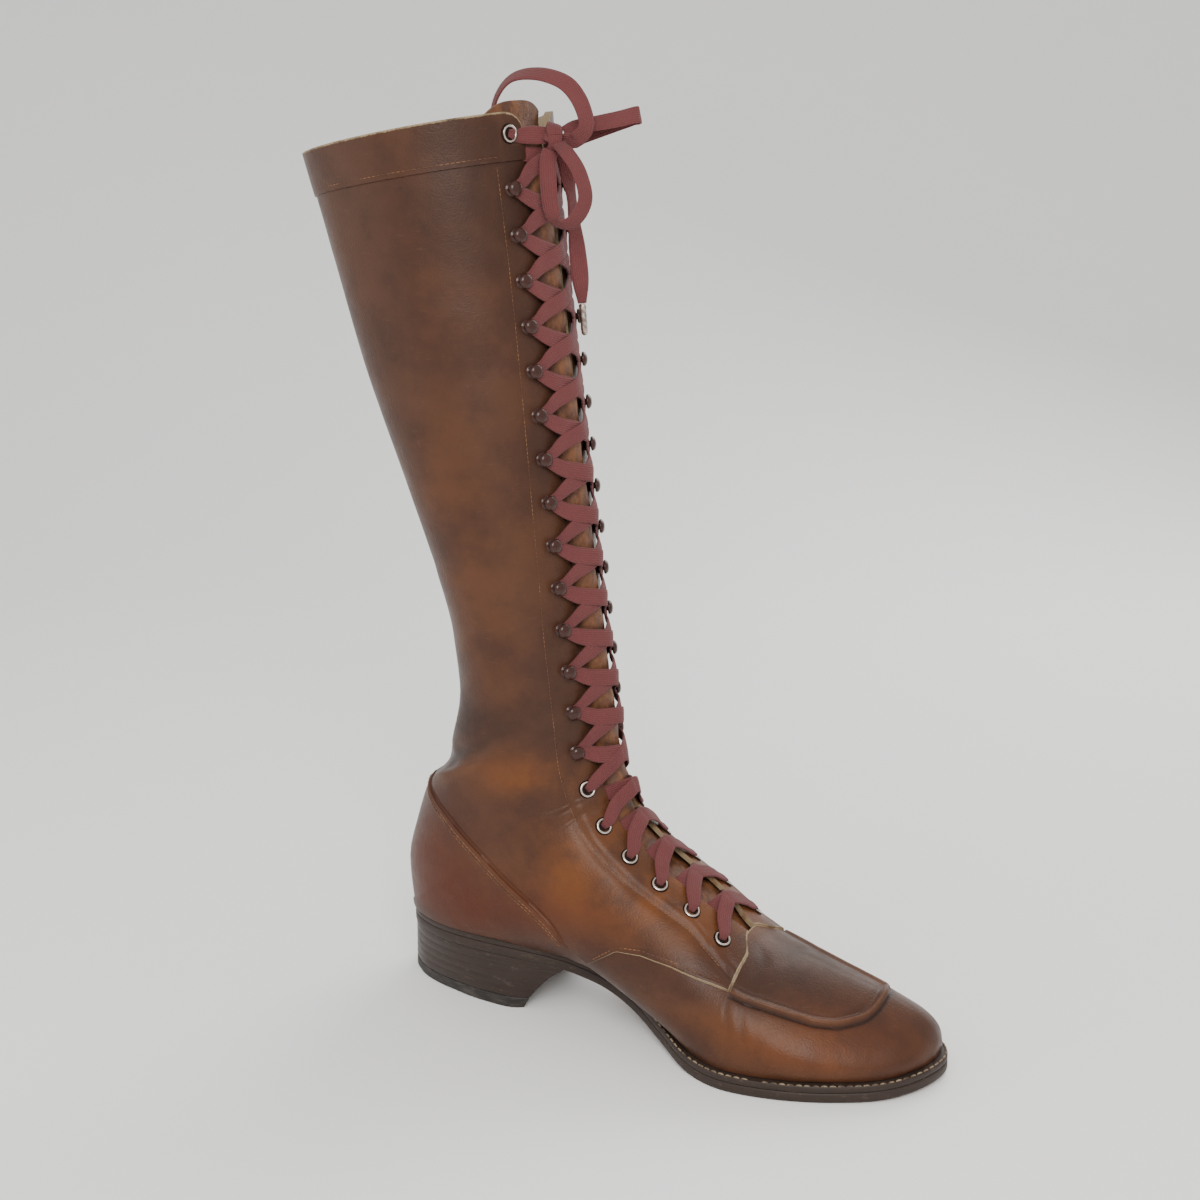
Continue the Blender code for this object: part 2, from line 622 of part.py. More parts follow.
def shell_piece(name, base_points, outer_lift, inner_depth, level, faces, material):
    """A walled piece: the faces moved out and in along their normals, and the rims.

    The points listed in level are moved level, so the feather edge stays at its height.
    """
    base_points = np.array(base_points)
    normals = np.zeros_like(base_points)
    for face in faces:
        corners = base_points[face]
        area = np.zeros(3)
        for k in range(1, len(face) - 1):
            area += np.cross(corners[k] - corners[0], corners[k + 1] - corners[0])
        for k in face:
            normals[k] += area
    normals[level, 2] = 0.0
    lengths = np.linalg.norm(normals, axis=1)
    lengths[lengths == 0.0] = 1.0
    normals /= lengths[:, None]
    outer = base_points + normals * np.array(outer_lift)[:, None]
    inner = base_points - normals * np.array(inner_depth)[:, None]
    count = len(base_points)
    edges = {}
    for face in faces:
        for a, b in zip(face, face[1:] + face[:1]):
            edges[a, b] = edges.get((a, b), 0) + 1
    skin = list(faces) + [[k + count for k in face[::-1]] for face in faces]
    for a, b in edges:
        if (b, a) not in edges:
            skin.append([b, a, a + count, b + count])
    used = sorted({k for face in skin for k in face})
    place = {k: n for n, k in enumerate(used)}
    points = np.vstack([outer, inner])[used]
    return make_piece(name, points, [[place[k] for k in face] for face in skin], material)


def build_tongue(material):
    """The tongue: a strip inside the slit, from under the vamp to above the collar."""
    start = SHELL.keys[THROAT_SECTION] - 14.0
    end = SHELL.keys[COLLAR_SECTION] + 5.0
    ankle = SHELL.keys[ANKLE_SECTION]
    levels = list(np.linspace(start, ankle, 18)[:-1]) + list(np.linspace(ankle, end, 10))
    columns = 6
    base_points, faces = [], []
    for key in levels:
        high = ease(key, SHELL.keys[NARROWING_SECTION], end)
        half = 21.0 + 4.0 * ease(key, start, start + 90.0) - 6.0 * high
        shift = -7.0 * high
        for j in range(columns + 1):
            arc = shift + half * (2.0 * j / columns - 1.0)
            edge = abs(2.0 * j / columns - 1.0)
            drop = 5.0 * ease(key, end - 12.0, end) * edge ** 3
            point = SHELL.at(key - drop, arc)
            depth = lining_depth(key) + TONGUE_GAP
            base_points.append(point - SHELL.normal(key - drop, arc) * depth)
    for i in range(len(levels) - 1):
        for j in range(columns):
            a = i * (columns + 1) + j
            faces.append([a, a + 1, a + columns + 2, a + columns + 1])
    count = len(base_points)
    return shell_piece("tongue", base_points, [0.0] * count, [TONGUE_THICKNESS] * count, [],
                       faces, material)


def lacing_stations():
    """Keys of the eyelets and hooks along the facing, from the throat up."""
    start, end = SHELL.keys[THROAT_SECTION], SHELL.keys[COLLAR_SECTION]
    keys = np.linspace(start, end, 260)
    line = np.array([SHELL.at(k, LACING_ARC) for k in keys])
    run = np.concatenate([[0.0], np.cumsum(np.linalg.norm(np.diff(line, axis=0), axis=1))])
    runs = [FIRST_EYELET_RUN + EYELET_PITCH * k for k in range(INSTEP_EYELETS)]
    runs += [runs[-1] + HOOK_PITCH * (k + 1) for k in range(HOOKS)]
    runs.append(runs[-1] + TOP_EYELET_PITCH)
    return [float(np.interp(r, run, keys)) for r in runs]


def seat(key, arc, lift):
    """A frame on the facing: its point above the leather, across, along and outward."""
    out = SHELL.normal(key, arc)
    point = SHELL.at(key, arc) + out * lift
    along = SHELL.at(key + 1.0, arc) - SHELL.at(key - 1.0, arc)
    along /= np.linalg.norm(along)
    across = np.cross(along, out)
    return point, across, along, out


def turned_mesh(name, profile, segments, bore, material):
    """A mesh turned about +Z from a profile of radius and height in millimetres."""
    points, faces = [], []
    for k in range(segments):
        angle = 2 * math.pi * k / segments
        for radius, height in profile:
            points.append((radius * math.cos(angle), radius * math.sin(angle), height))
    count = len(profile)
    spans = count if bore else count - 1
    for k in range(segments):
        a, b = k * count, ((k + 1) % segments) * count
        for i in range(spans):
            n = (i + 1) % count
            faces.append((a + i, b + i, b + n, a + n))
    mesh = bpy.data.meshes.new(name)
    mesh.from_pydata([Vector(p) * MM for p in points], [], faces)
    work = bmesh.new()
    work.from_mesh(mesh)
    bmesh.ops.remove_doubles(work, verts=work.verts, dist=0.00001)
    bmesh.ops.recalc_face_normals(work, faces=work.faces)
    work.to_mesh(mesh)
    work.free()
    mesh.materials.append(material)
    mesh.shade_smooth()
    mesh.set_sharp_from_angle(angle=math.radians(40.0))
    return mesh


def place_on_facing(name, mesh, radius, key, arc, leather_tree):
    """An object of a shared mesh set on the facing, its Z axis outward.

    Rays from above its rim and middle find how high the leather stands under it.
    """
    point, across, along, out = seat(key, arc, RAY_START)
    drops = []
    for u, v in ((0, 0), (1, 0), (-1, 0), (0, 1), (0, -1)):
        start = to_metres(point + (across * u + along * v) * radius)
        drops.append(leather_tree.ray_cast(start, Vector(-out))[3] / MM)
    point -= out * (min(drops) - CONTACT_GAP)
    piece = bpy.data.objects.new(name, mesh)
    turn = Matrix((across, along, out)).transposed().to_4x4()
    piece.matrix_world = Matrix.Translation(to_metres(point)) @ turn
    bpy.context.collection.objects.link(piece)


EYELET_PROFILE = ((2.3, 0.0), (4.5, 0.0), (4.1, 0.9), (2.7, 1.2))
HOOK_PROFILE = ((0.0, 0.0), (3.3, 0.0), (1.5, 0.9), (1.5, 2.4), (4.3, 2.6), (3.5, 4.4),
                (0.0, 5.2))


def build_fittings(upper, eyelet_material, hook_material):
    """Six eyelets and fourteen hooks up each facing, and an eyelet at the top."""
    leather_tree = BVHTree.FromObject(upper, bpy.context.evaluated_depsgraph_get())
    eyelet = turned_mesh("eyelet", EYELET_PROFILE, 8, True, eyelet_material)
    hook = turned_mesh("hook", HOOK_PROFILE, 6, False, hook_material)
    stations = lacing_stations()
    for side, letter in ((-1, "outer"), (1, "inner")):
        for k, key in enumerate(stations):
            arc = side * LACING_ARC
            if k < INSTEP_EYELETS:
                name, mesh, radius = f"eyelet_{letter}_{k + 1}", eyelet, EYELET_PROFILE[1][0]
            elif k < INSTEP_EYELETS + HOOKS:
                number = k - INSTEP_EYELETS + 1
                name, mesh, radius = f"hook_{letter}_{number}", hook, HOOK_PROFILE[1][0]
            else:
                name, mesh, radius = f"eyelet_{letter}_top", eyelet, EYELET_PROFILE[1][0]
            place_on_facing(name, mesh, radius, key, arc, leather_tree)


def build_crossings(material):
    """The laced part of the lace: every crossing, joined at the turns beside the hooks."""
    stations = lacing_stations()
    half = LACE_WIDTH * 0.5
    points, faces = [], []

    def add(point):
        points.append(np.array(point))
        return len(points) - 1

    def turn_points(key, side, top):
        lift = QUARTER_LIFT + LACE_GAP + (CUFF_LIFT if top else 0.0)
        point, across, along, out = seat(key, side * LACE_TURN_ARC, lift)
        inward = across * (-side)
        return (add(point - along * half), add(point + along * half),
                add(point + inward * 3.6 + out * 0.3))

    levels = []
    for n, key in enumerate(stations):
        levels.append([turn_points(key, side, n == len(stations) - 1) for side in (-1, 1)])
    for n, (left, right) in enumerate(levels):
        for low, high, crotch in (left, right):
            faces.append([low, high, crotch])
        if n == 0:
            continue
        below_left, below_right = levels[n - 1]
        corners = [points[k] for k in (left[0], right[0], below_left[1], below_right[1])]
        middle = sum(corners) / 4.0 + seat(key, 0.0, 0.0)[3] * LACE_BULGE
        up = (corners[0] + corners[1] - corners[2] - corners[3])
        up /= np.linalg.norm(up)
        side_way = (corners[1] + corners[3] - corners[0] - corners[2])
        side_way /= np.linalg.norm(side_way)
        west, east = add(middle - side_way * 4.6), add(middle + side_way * 4.6)
        north, south = add(middle + up * 4.4), add(middle - up * 4.4)
        faces.append([west, south, east, north])
        faces.append([left[0], west, north, left[2]])
        faces.append([right[0], right[2], north, east])
        faces.append([below_left[1], below_left[2], south, west])
        faces.append([below_right[1], east, south, below_right[2]])
    top_left, top_right = levels[-1]
    front = (points[top_left[2]] + points[top_right[2]]) / 2.0
    shelf_low = add(front + np.array([2.0, 0.0, -3.2]))
    shelf_high = add(front + np.array([1.6, 0.0, 3.2]))
    faces.append([top_left[2], top_left[1], shelf_high, shelf_low])
    faces.append([top_right[1], top_right[2], shelf_low, shelf_high])
    work = bmesh.new()
    verts = [work.verts.new(to_metres(p)) for p in points]
    for face in faces:
        work.faces.new([verts[k] for k in face])
    bmesh.ops.recalc_face_normals(work, faces=work.faces)
    forward = sum(f.normal.x + f.normal.z for f in work.faces)
    if forward < 0.0:
        bmesh.ops.reverse_faces(work, faces=work.faces)
    work.normal_update()
    bmesh.ops.solidify(work, geom=work.faces[:], thickness=-LACE_THICKNESS * MM)
    bmesh.ops.recalc_face_normals(work, faces=work.faces)
    mesh = bpy.data.meshes.new("lace_crossings")
    work.to_mesh(mesh)
    work.free()
    mesh.materials.append(material)
    piece = bpy.data.objects.new("lace_crossings", mesh)
    bpy.context.collection.objects.link(piece)


# The bow: routes of its free stretches, from the knot: x, y, z
KNOT_CENTRE = (85.0, -3.5, 398.5)
KNOT_RADII = (4.3, 5.4, 6.0)

# Directions in which the loops and ends leave the knot, and the middle of each route
LOOP_HANGING_EXITS = ((7.5, -5.5, -4.3), (0.4, -6.3, -8.9))
LOOP_HANGING = (
    (94.8, -9.8, 392.6), (100.1, -9.8, 385.4), (103.0, -9.8, 375.5), (100.8, -10.0, 368.7),
    (95.6, -10.4, 364.0), (90.2, -11.2, 364.4), (87.6, -12.0, 370.3), (86.4, -11.6, 381.5),
)
LOOP_FLAT_EXITS = ((7.0, 6.0, 4.5), (0.5, 8.5, -2.0))
LOOP_FLAT = (
    (96.4, 4.6, 403.6), (102.0, 5.6, 404.4), (110.0, 7.6, 405.8), (116.0, 9.6, 407.2),
    (117.4, 12.2, 407.2), (113.4, 14.6, 406.4), (107.4, 13.8, 404.6), (98.3, 12.4, 401.6),
    (90.6, 10.6, 398.8),
)
END_BACK_EXITS = ((6.0, 0.4, -0.8),)
END_BACK = (
    (96.4, -3.2, 398.4), (99.8, -3.0, 401.8), (100.2, -3.0, 406.4), (96.6, -3.0, 414.6),
    (90.4, -4.0, 421.0), (79.0, -5.6, 424.4), (67.4, -7.0, 423.0), (60.0, -8.0, 415.0),
    (57.0, -8.5, 402.0), (56.0, -8.5, 388.0), (55.6, -8.5, 374.0),
)
END_HANGING_EXITS = ((0.8, 5.1, -6.9),)
END_HANGING = (
    (86.8, 3.8, 384.4), (88.0, 5.0, 374.8), (88.6, 6.0, 363.6), (89.3, 7.0, 351.9),
    (90.0, 8.0, 339.2), (90.6, 8.2, 329.0),
)
KNOT_LEAD = 4.5
TIP_LENGTH = 14.0
TIP_RADIUS = 1.6


def knot_exit(direction, lead):
    """A point a little off the knot's surface in a direction, and lead further on."""
    direction = np.array(direction) / np.linalg.norm(direction)
    reach = 1.0 / np.linalg.norm(direction / np.array(KNOT_RADII))
    return np.array(KNOT_CENTRE) + direction * (reach + CONTACT_GAP + lead)


def bow_route(exits, middle):
    """A whole route: from the knot through its middle, and back to the knot for a loop."""
    route = [knot_exit(exits[0], 0.0), knot_exit(exits[0], KNOT_LEAD), *middle]
    if len(exits) > 1:
        route += [knot_exit(exits[1], KNOT_LEAD), knot_exit(exits[1], 0.0)]
    return route


def build_tube(name, route, material):
    """A round tube along a smooth curve through the route."""
    curve = bpy.data.curves.new(name, "CURVE")
    curve.dimensions = "3D"
    curve.bevel_depth = CORD_RADIUS * MM
    curve.bevel_resolution = 2
    curve.use_fill_caps = True
    points = open_curve(route, CORD_STEP)
    spline = curve.splines.new("POLY")
    spline.points.add(len(points) - 1)
    for target, point in zip(spline.points, points):
        target.co = (*to_metres(point), 1.0)
    curve.materials.append(material)
    piece = bpy.data.objects.new(name, curve)
    bpy.context.collection.objects.link(piece)


def build_tip(name, route, material):
    """The metal tip that goes on from a lace end's last point."""
    last, before = np.array(route[-1]), np.array(route[-2])
    along = (last - before) / np.linalg.norm(last - before)
    start = last + along * CONTACT_GAP
    profile = ((0.0, 0.0), (TIP_RADIUS, 0.0), (TIP_RADIUS, TIP_LENGTH - 1.5),
               (0.7, TIP_LENGTH), (0.0, TIP_LENGTH))
    mesh = turned_mesh(name, profile, 8, False, material)
    piece = bpy.data.objects.new(name, mesh)
    turn = Vector(along).to_track_quat("Z", "X").to_matrix().to_4x4()
    piece.matrix_world = Matrix.Translation(to_metres(start)) @ turn
    bpy.context.collection.objects.link(piece)


def build_bow(lace_material, tip_material):
    """The bow: its knot, two loops and two ends with their tips."""
    knot = bmesh.new()
    bmesh.ops.create_icosphere(knot, subdivisions=2, radius=1.0)
    for vert in knot.verts:
        stretched = [c * r for c, r in zip(vert.co, KNOT_RADII)]
        vert.co = to_metres(np.array(KNOT_CENTRE) + np.array(stretched))
    mesh = bpy.data.meshes.new("lace_knot")
    knot.to_mesh(mesh)
    knot.free()
    mesh.materials.append(lace_material)
    piece = bpy.data.objects.new("lace_knot", mesh)
    bpy.context.collection.objects.link(piece)
    for name, exits, middle in (("lace_loop_hanging", LOOP_HANGING_EXITS, LOOP_HANGING),
                                ("lace_loop_flat", LOOP_FLAT_EXITS, LOOP_FLAT),
                                ("lace_end_back", END_BACK_EXITS, END_BACK),
                                ("lace_end_hanging", END_HANGING_EXITS, END_HANGING)):
        build_tube(name, bow_route(exits, middle), lace_material)
    build_tip("lace_tip_back", END_BACK, tip_material)
    build_tip("lace_tip_hanging", END_HANGING, tip_material)


remove_everything()
brown = leather("upper_leather", (0.16, 0.065, 0.035), 0.45)
tongue_brown = leather("tongue_leather", (0.10, 0.045, 0.03), 0.6)
tan = leather("insole_leather", (0.42, 0.28, 0.16), 0.7)
edge_brown = leather("sole_leather", (0.075, 0.05, 0.04), 0.55)
welt_brown = leather("welt_leather", (0.085, 0.055, 0.042), 0.55)
stack_brown = leather("stacked_leather", (0.07, 0.047, 0.038), 0.55)
rubber = leather("top_lift_rubber", (0.03, 0.026, 0.024), 0.8)
lace_plum = leather("lace_cotton", (0.20, 0.065, 0.07), 0.9)
nickel = metal("worn_nickel", (0.45, 0.4, 0.36), 0.35)
enamel = metal("brown_enamel", (0.16, 0.075, 0.05), 0.3)
tip_metal = metal("tip_metal", (0.5, 0.45, 0.4), 0.4)

build_outsole(edge_brown)
build_welt(welt_brown)
build_insole(tan)
build_heel(stack_brown, rubber)
upper_piece = build_upper(brown)
build_tongue(tongue_brown)
build_fittings(upper_piece, nickel, enamel)
build_crossings(lace_plum)
build_bow(lace_plum, tip_metal)
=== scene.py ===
"""Looks of a Victorian lace-up knee boot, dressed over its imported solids.

Tables are in millimetres in the boot's own frame: +X to the toe, +Y to the foot's inner
side, +Z up, the floor at z = 0 and x = 0 near the back of the heel.
"""

import math

import bmesh
import bpy
import numpy as np
from mathutils import Matrix, Vector
from mathutils.bvhtree import BVHTree


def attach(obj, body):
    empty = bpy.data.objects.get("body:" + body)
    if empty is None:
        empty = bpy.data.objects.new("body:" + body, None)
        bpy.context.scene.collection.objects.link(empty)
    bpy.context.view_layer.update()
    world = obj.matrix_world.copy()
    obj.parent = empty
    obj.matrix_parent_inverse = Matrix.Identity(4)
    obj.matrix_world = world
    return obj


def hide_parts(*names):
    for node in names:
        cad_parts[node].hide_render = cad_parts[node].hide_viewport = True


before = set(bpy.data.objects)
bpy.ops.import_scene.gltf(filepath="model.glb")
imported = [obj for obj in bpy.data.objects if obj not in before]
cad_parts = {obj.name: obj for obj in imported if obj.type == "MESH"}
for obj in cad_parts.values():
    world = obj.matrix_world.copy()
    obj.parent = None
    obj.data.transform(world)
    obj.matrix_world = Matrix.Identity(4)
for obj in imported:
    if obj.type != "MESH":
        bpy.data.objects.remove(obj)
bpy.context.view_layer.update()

# ---------------------------------------------------------------------------
# Camera and light. The camera stands in front of the boot's outer side, a little
# above the instep, and looks down at it past a soft key light from the front.
# ---------------------------------------------------------------------------
MM = 0.001
ORIGIN_X = 34.0
CAMERA_PLACE = (455.95, -652.65, 408.85)
CAMERA_AIM = (104.5, -6.0, 200.5)
CAMERA_ROLL = -1.0
LENS = 51.75


def metres(point):
    """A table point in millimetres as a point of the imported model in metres."""
    return Vector(((point[0] - ORIGIN_X) * MM, point[1] * MM, point[2] * MM))


camera = bpy.data.objects.new("camera", bpy.data.cameras.new("camera"))
camera.data.lens = LENS
camera.data.sensor_width = 36.0
camera.location = metres(CAMERA_PLACE)
looking = (metres(CAMERA_AIM) - camera.location).normalized()
turn = looking.to_track_quat("-Z", "Y").to_matrix().to_4x4()
camera.rotation_euler = (turn @ Matrix.Rotation(math.radians(CAMERA_ROLL), 4, "Z")).to_euler()
bpy.context.collection.objects.link(camera)
bpy.context.scene.camera = camera

world = bpy.data.worlds.new("studio")
world.use_nodes = True
world.node_tree.nodes["Background"].inputs["Color"].default_value = (1.0, 0.99, 0.975, 1.0)
world.node_tree.nodes["Background"].inputs["Strength"].default_value = 0.95
bpy.context.scene.world = world

LAMPS = (
    ("key", (620.0, -900.0, 900.0), 620.0, 13.0, (1.0, 0.985, 0.96)),
    ("fill", (-700.0, -700.0, 520.0), 900.0, 2.6, (0.96, 0.98, 1.0)),
    ("rim", (250.0, 900.0, 800.0), 700.0, 7.0, (1.0, 0.99, 0.97)),
)
for name, place, size, power, colour in LAMPS:
    lamp = bpy.data.lights.new(name, "AREA")
    lamp.size = size * MM
    lamp.energy = power
    lamp.color = colour
    light = bpy.data.objects.new(name, lamp)
    light.location = metres(place)
    aim = metres((110.0, 0.0, 160.0)) - light.location
    light.rotation_euler = aim.to_track_quat("-Z", "Y").to_euler()
    bpy.context.collection.objects.link(light)

# ---------------------------------------------------------------------------
# The bow. A flat woven cotton lace, tied at the collar: a knot, a loop that hangs, a
# loop pressed flat, an end that goes back over the tongue and an end that hangs.
# ---------------------------------------------------------------------------
LACE_WIDTH = 7.5
LACE_THICKNESS = 1.1
LACE_STEP = 1.6
CORD_GAP = 0.3
KNOT_CENTRE = np.array((85.0, -3.5, 398.5))
KNOT_RADII = np.array((4.3, 5.4, 6.0))
KNOT_LEAD = 4.5
TO_CAMERA = np.array((0.533, -0.796, 0.287))


class Value:
    """A number that varies over a surface. Sums and products of it add Math nodes."""

    def __init__(self, socket):
        self.socket = socket

    def math(self, operation, *others, flipped=False):
        """The result of a Math node on this value and the others."""
        tree = self.socket.id_data
        node = tree.nodes.new("ShaderNodeMath")
        node.operation = operation
        parts = [*others, self] if flipped else [self, *others]
        for entry, part in zip(node.inputs, parts):
            if isinstance(part, Value):
                tree.links.new(part.socket, entry)
            else:
                entry.default_value = part
        return Value(node.outputs[0])

    def __add__(self, other):
        return self.math("ADD", other)

    def __sub__(self, other):
        return self.math("SUBTRACT", other)

    def __rsub__(self, other):
        return self.math("SUBTRACT", other, flipped=True)

    def __mul__(self, other):
        return self.math("MULTIPLY", other)

    __radd__ = __add__
    __rmul__ = __mul__

    def clear_of(self, low, high):
        """0 below low, 1 above high, smooth between."""
        share = ((self - low) * (1.0 / (high - low))).math("MAXIMUM", 0.0).math("MINIMUM", 1.0)
        return share * share * (3.0 - 2.0 * share)


class Finish:
    """A material being mixed: its shader and the nodes that feed it."""

    def __init__(self, name, **constants):
        self.material = bpy.data.materials.new(name)
        self.material.use_nodes = True
        self.tree = self.material.node_tree
        self.shader = self.tree.nodes["Principled BSDF"]
        self.place = None
        for socket, value in constants.items():
            title = socket.replace("_", " ").title().replace("Ior", "IOR")
            self.feed(self.shader.inputs[title], value)

    def feed(self, socket, value):
        """Link or set one socket."""
        if isinstance(value, Value):
            self.tree.links.new(value.socket, socket)
        elif socket.type == "RGBA":
            socket.default_value = (*value, 1.0)
        else:
            socket.default_value = value

    def add(self, kind, settings, sockets, output=0):
        """Put in a node of a kind, with its settings first and then its sockets."""
        node = self.tree.nodes.new("ShaderNode" + kind)
        for key, value in settings.items():
            setattr(node, key, value)
        for key, value in sockets.items():
            self.feed(node.inputs[key], value)
        return Value(node.outputs[output])

    def spot(self, stretch=(1.0, 1.0, 1.0)):
        """The point on the object, stretched along its axes."""
        if self.place is None:
            self.place = self.add("TexCoord", {}, {}, "Object")
        if stretch == (1.0, 1.0, 1.0):
            return self.place
        return self.add("VectorMath", {"operation": "MULTIPLY"}, {0: self.place, 1: stretch})

    def clouds(self, size, detail=4.0, rough=0.55, stretch=(1.0, 1.0, 1.0)):
        """Soft mottling with features of a size in millimetres."""
        return self.add("TexNoise", {}, {"Vector": self.spot(stretch), "Scale": 1000.0 / size,
                                         "Detail": detail, "Roughness": rough})

    def cells(self, size, feature="F1", stretch=(1.0, 1.0, 1.0)):
        """Pebbles of a size in millimetres."""
        return self.add("TexVoronoi", {"feature": feature},
                        {"Vector": self.spot(stretch), "Scale": 1000.0 / size}, "Distance")

    def drawn(self, name):
        """A number stored on the mesh's own points."""
        return self.add("Attribute", {"attribute_name": name}, {}, "Fac")

    def blend(self, first, second, share):
        """One colour going over into another."""
        return self.add("Mix", {"data_type": "RGBA"}, {0: share, 6: first, 7: second}, 2)

    def cover(self, colour, roughness, height=None, depth=0.0):
        """The colour, roughness and relief of the finish; depth is in millimetres."""
        self.feed(self.shader.inputs["Base Color"], colour)
        self.feed(self.shader.inputs["Roughness"], roughness)
        if height is not None:
            relief = self.add("Bump", {}, {"Height": height, "Distance": depth * MM})
            self.feed(self.shader.inputs["Normal"], relief)
        return self.material


def add_mesh(name, points, faces, finishes, drawn=None, which=None, sharp=50.0):
    """An object of the boot from points in millimetres, riding on its body."""
    mesh = bpy.data.meshes.new(name)
    mesh.from_pydata([metres(p) for p in points], [], [list(map(int, f)) for f in faces])
    for finish in finishes:
        mesh.materials.append(finish)
    for key, values in (drawn or {}).items():
        layer = mesh.attributes.new(key, "FLOAT", "POINT")
        layer.data.foreach_set("value", np.asarray(values, np.float32))
    if which is not None:
        mesh.polygons.foreach_set("material_index", np.asarray(which, np.int32))
    mesh.shade_smooth()
    mesh.set_sharp_from_angle(angle=math.radians(sharp))
    mesh.update()
    piece = bpy.data.objects.new(name, mesh)
    bpy.context.collection.objects.link(piece)
    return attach(piece, "root")


def respaced(rows, spacing):
    """Rows of x, y, z and more, evenly spaced on the smooth curve through them."""
    rows = np.array(rows, float)
    ends = np.vstack([2 * rows[0] - rows[1], rows, 2 * rows[-1] - rows[-2]])
    fine = []
    for a, b, c, d in zip(ends, ends[1:], ends[2:], ends[3:]):
        for u in np.linspace(0.0, 1.0, 16, endpoint=False):
            fine.append(0.5 * (2 * b + (c - a) * u + (2 * a - 5 * b + 4 * c - d) * u * u
                               + (3 * b - a - 3 * c + d) * u ** 3))
    fine = np.array(fine + [rows[-1]])
    run = np.linalg.norm(np.diff(fine[:, :3], axis=0), axis=1)
    run = np.concatenate([[0.0], np.cumsum(run)])
    count = max(3, int(round(run[-1] / spacing)) + 1)
    at = np.linspace(0.0, run[-1], count)
    return np.stack([np.interp(at, run, fine[:, k]) for k in range(fine.shape[1])], axis=1)


def lace_strip(rows):
    """Points, faces and stored numbers of a flat lace along rows of place, facing, width."""
    middle, facing, width = rows[:, :3], rows[:, 3:6], rows[:, 6]
    along = np.gradient(middle, axis=0)
    along /= np.linalg.norm(along, axis=1)[:, None]
    across = np.cross(facing, along)
    across /= np.maximum(np.linalg.norm(across, axis=1), 1e-9)[:, None]
    facing = np.cross(along, across)
    run = np.concatenate([[0.0], np.cumsum(np.linalg.norm(np.diff(middle, axis=0), axis=1))])
    ring = [(1.0, 0.0), (0.93, 0.75), (0.6, 1.0), (0.2, 1.0), (-0.2, 1.0), (-0.6, 1.0),
            (-0.93, 0.75), (-1.0, 0.0), (-0.93, -0.75), (-0.6, -1.0), (-0.2, -1.0),
            (0.2, -1.0), (0.6, -1.0), (0.93, -0.75)]
    count = len(ring)
    points, sides, lengths, faces = [], [], [], []
    for i in range(len(middle)):
        thick = LACE_THICKNESS * (1.0 + 0.6 * (1.0 - min(width[i] / LACE_WIDTH, 1.0)))
        for u, v in ring:
            points.append(middle[i] + across[i] * u * width[i] / 2 + facing[i] * v * thick / 2)
            sides.append(u)
            lengths.append(run[i])
        if i:
            a, b = (i - 1) * count, i * count
            faces += [[a + k, a + (k + 1) % count, b + (k + 1) % count, b + k]
                      for k in range(count)]
    faces.append(list(range(count))[::-1])
    faces.append([len(points) - count + k for k in range(count)])
    return points, faces, sides, lengths


def join_parts(parts):
    """Several sets of points, faces and stored numbers as one set."""
    points, faces, extra = [], [], [[] for _ in parts[0][2:]]
    for part in parts:
        faces += [[k + len(points) for k in f] for f in part[1]]
        points += list(part[0])
        for store, values in zip(extra, part[2:]):
            store += list(values)
    return (points, faces, *extra)


plum = Finish("lace_cotton", specular_ior_level=0.12, sheen_weight=0.08, sheen_roughness=0.5)
rib = (plum.drawn("across") * 24.0).math("SINE")
pick = (plum.drawn("along") * 7.4).math("SINE")
fluff = plum.clouds(0.5, 5.0, 0.7)
fade = plum.clouds(9.0, 3.0, 0.6)
thread = plum.blend((0.092, 0.0260, 0.0270), (0.155, 0.047, 0.046), rib * 0.16 + 0.3 + fade * 0.45)
thread = plum.blend(thread, (0.23, 0.092, 0.082), fluff.clear_of(0.56, 0.8) * 0.15)
lace_finish = plum.cover(thread, fade * 0.1 + 0.8, rib * 0.4 + pick * 0.18 + fluff * 0.5, 0.22)


def knot_exit(direction, lead):
    """A point a little off the knot's surface in a direction, and lead further on."""
    direction = np.array(direction) / np.linalg.norm(direction)
    reach = 1.0 / np.linalg.norm(direction / KNOT_RADII)
    return KNOT_CENTRE + direction * (reach + CORD_GAP + lead)


def bow_rows(exits, middle, facings, widths):
    """Rows of a bow piece: its route from the knot, which way it faces and its width."""
    route = [knot_exit(exits[0], 0.0), knot_exit(exits[0], KNOT_LEAD), *middle]
    if len(exits) > 1:
        route += [knot_exit(exits[1], KNOT_LEAD), knot_exit(exits[1], 0.0)]
    share = np.linspace(0.0, 1.0, len(route))
    rows = []
    for place, at in zip(route, share):
        face = [np.interp(at, [f[0] for f in facings], [f[k] for f in facings])
                for k in (1, 2, 3)]
        width = np.interp(at, [w[0] for w in widths], [w[1] for w in widths])
        rows.append([*place, *face, width * LACE_WIDTH])
    return respaced(rows, LACE_STEP)


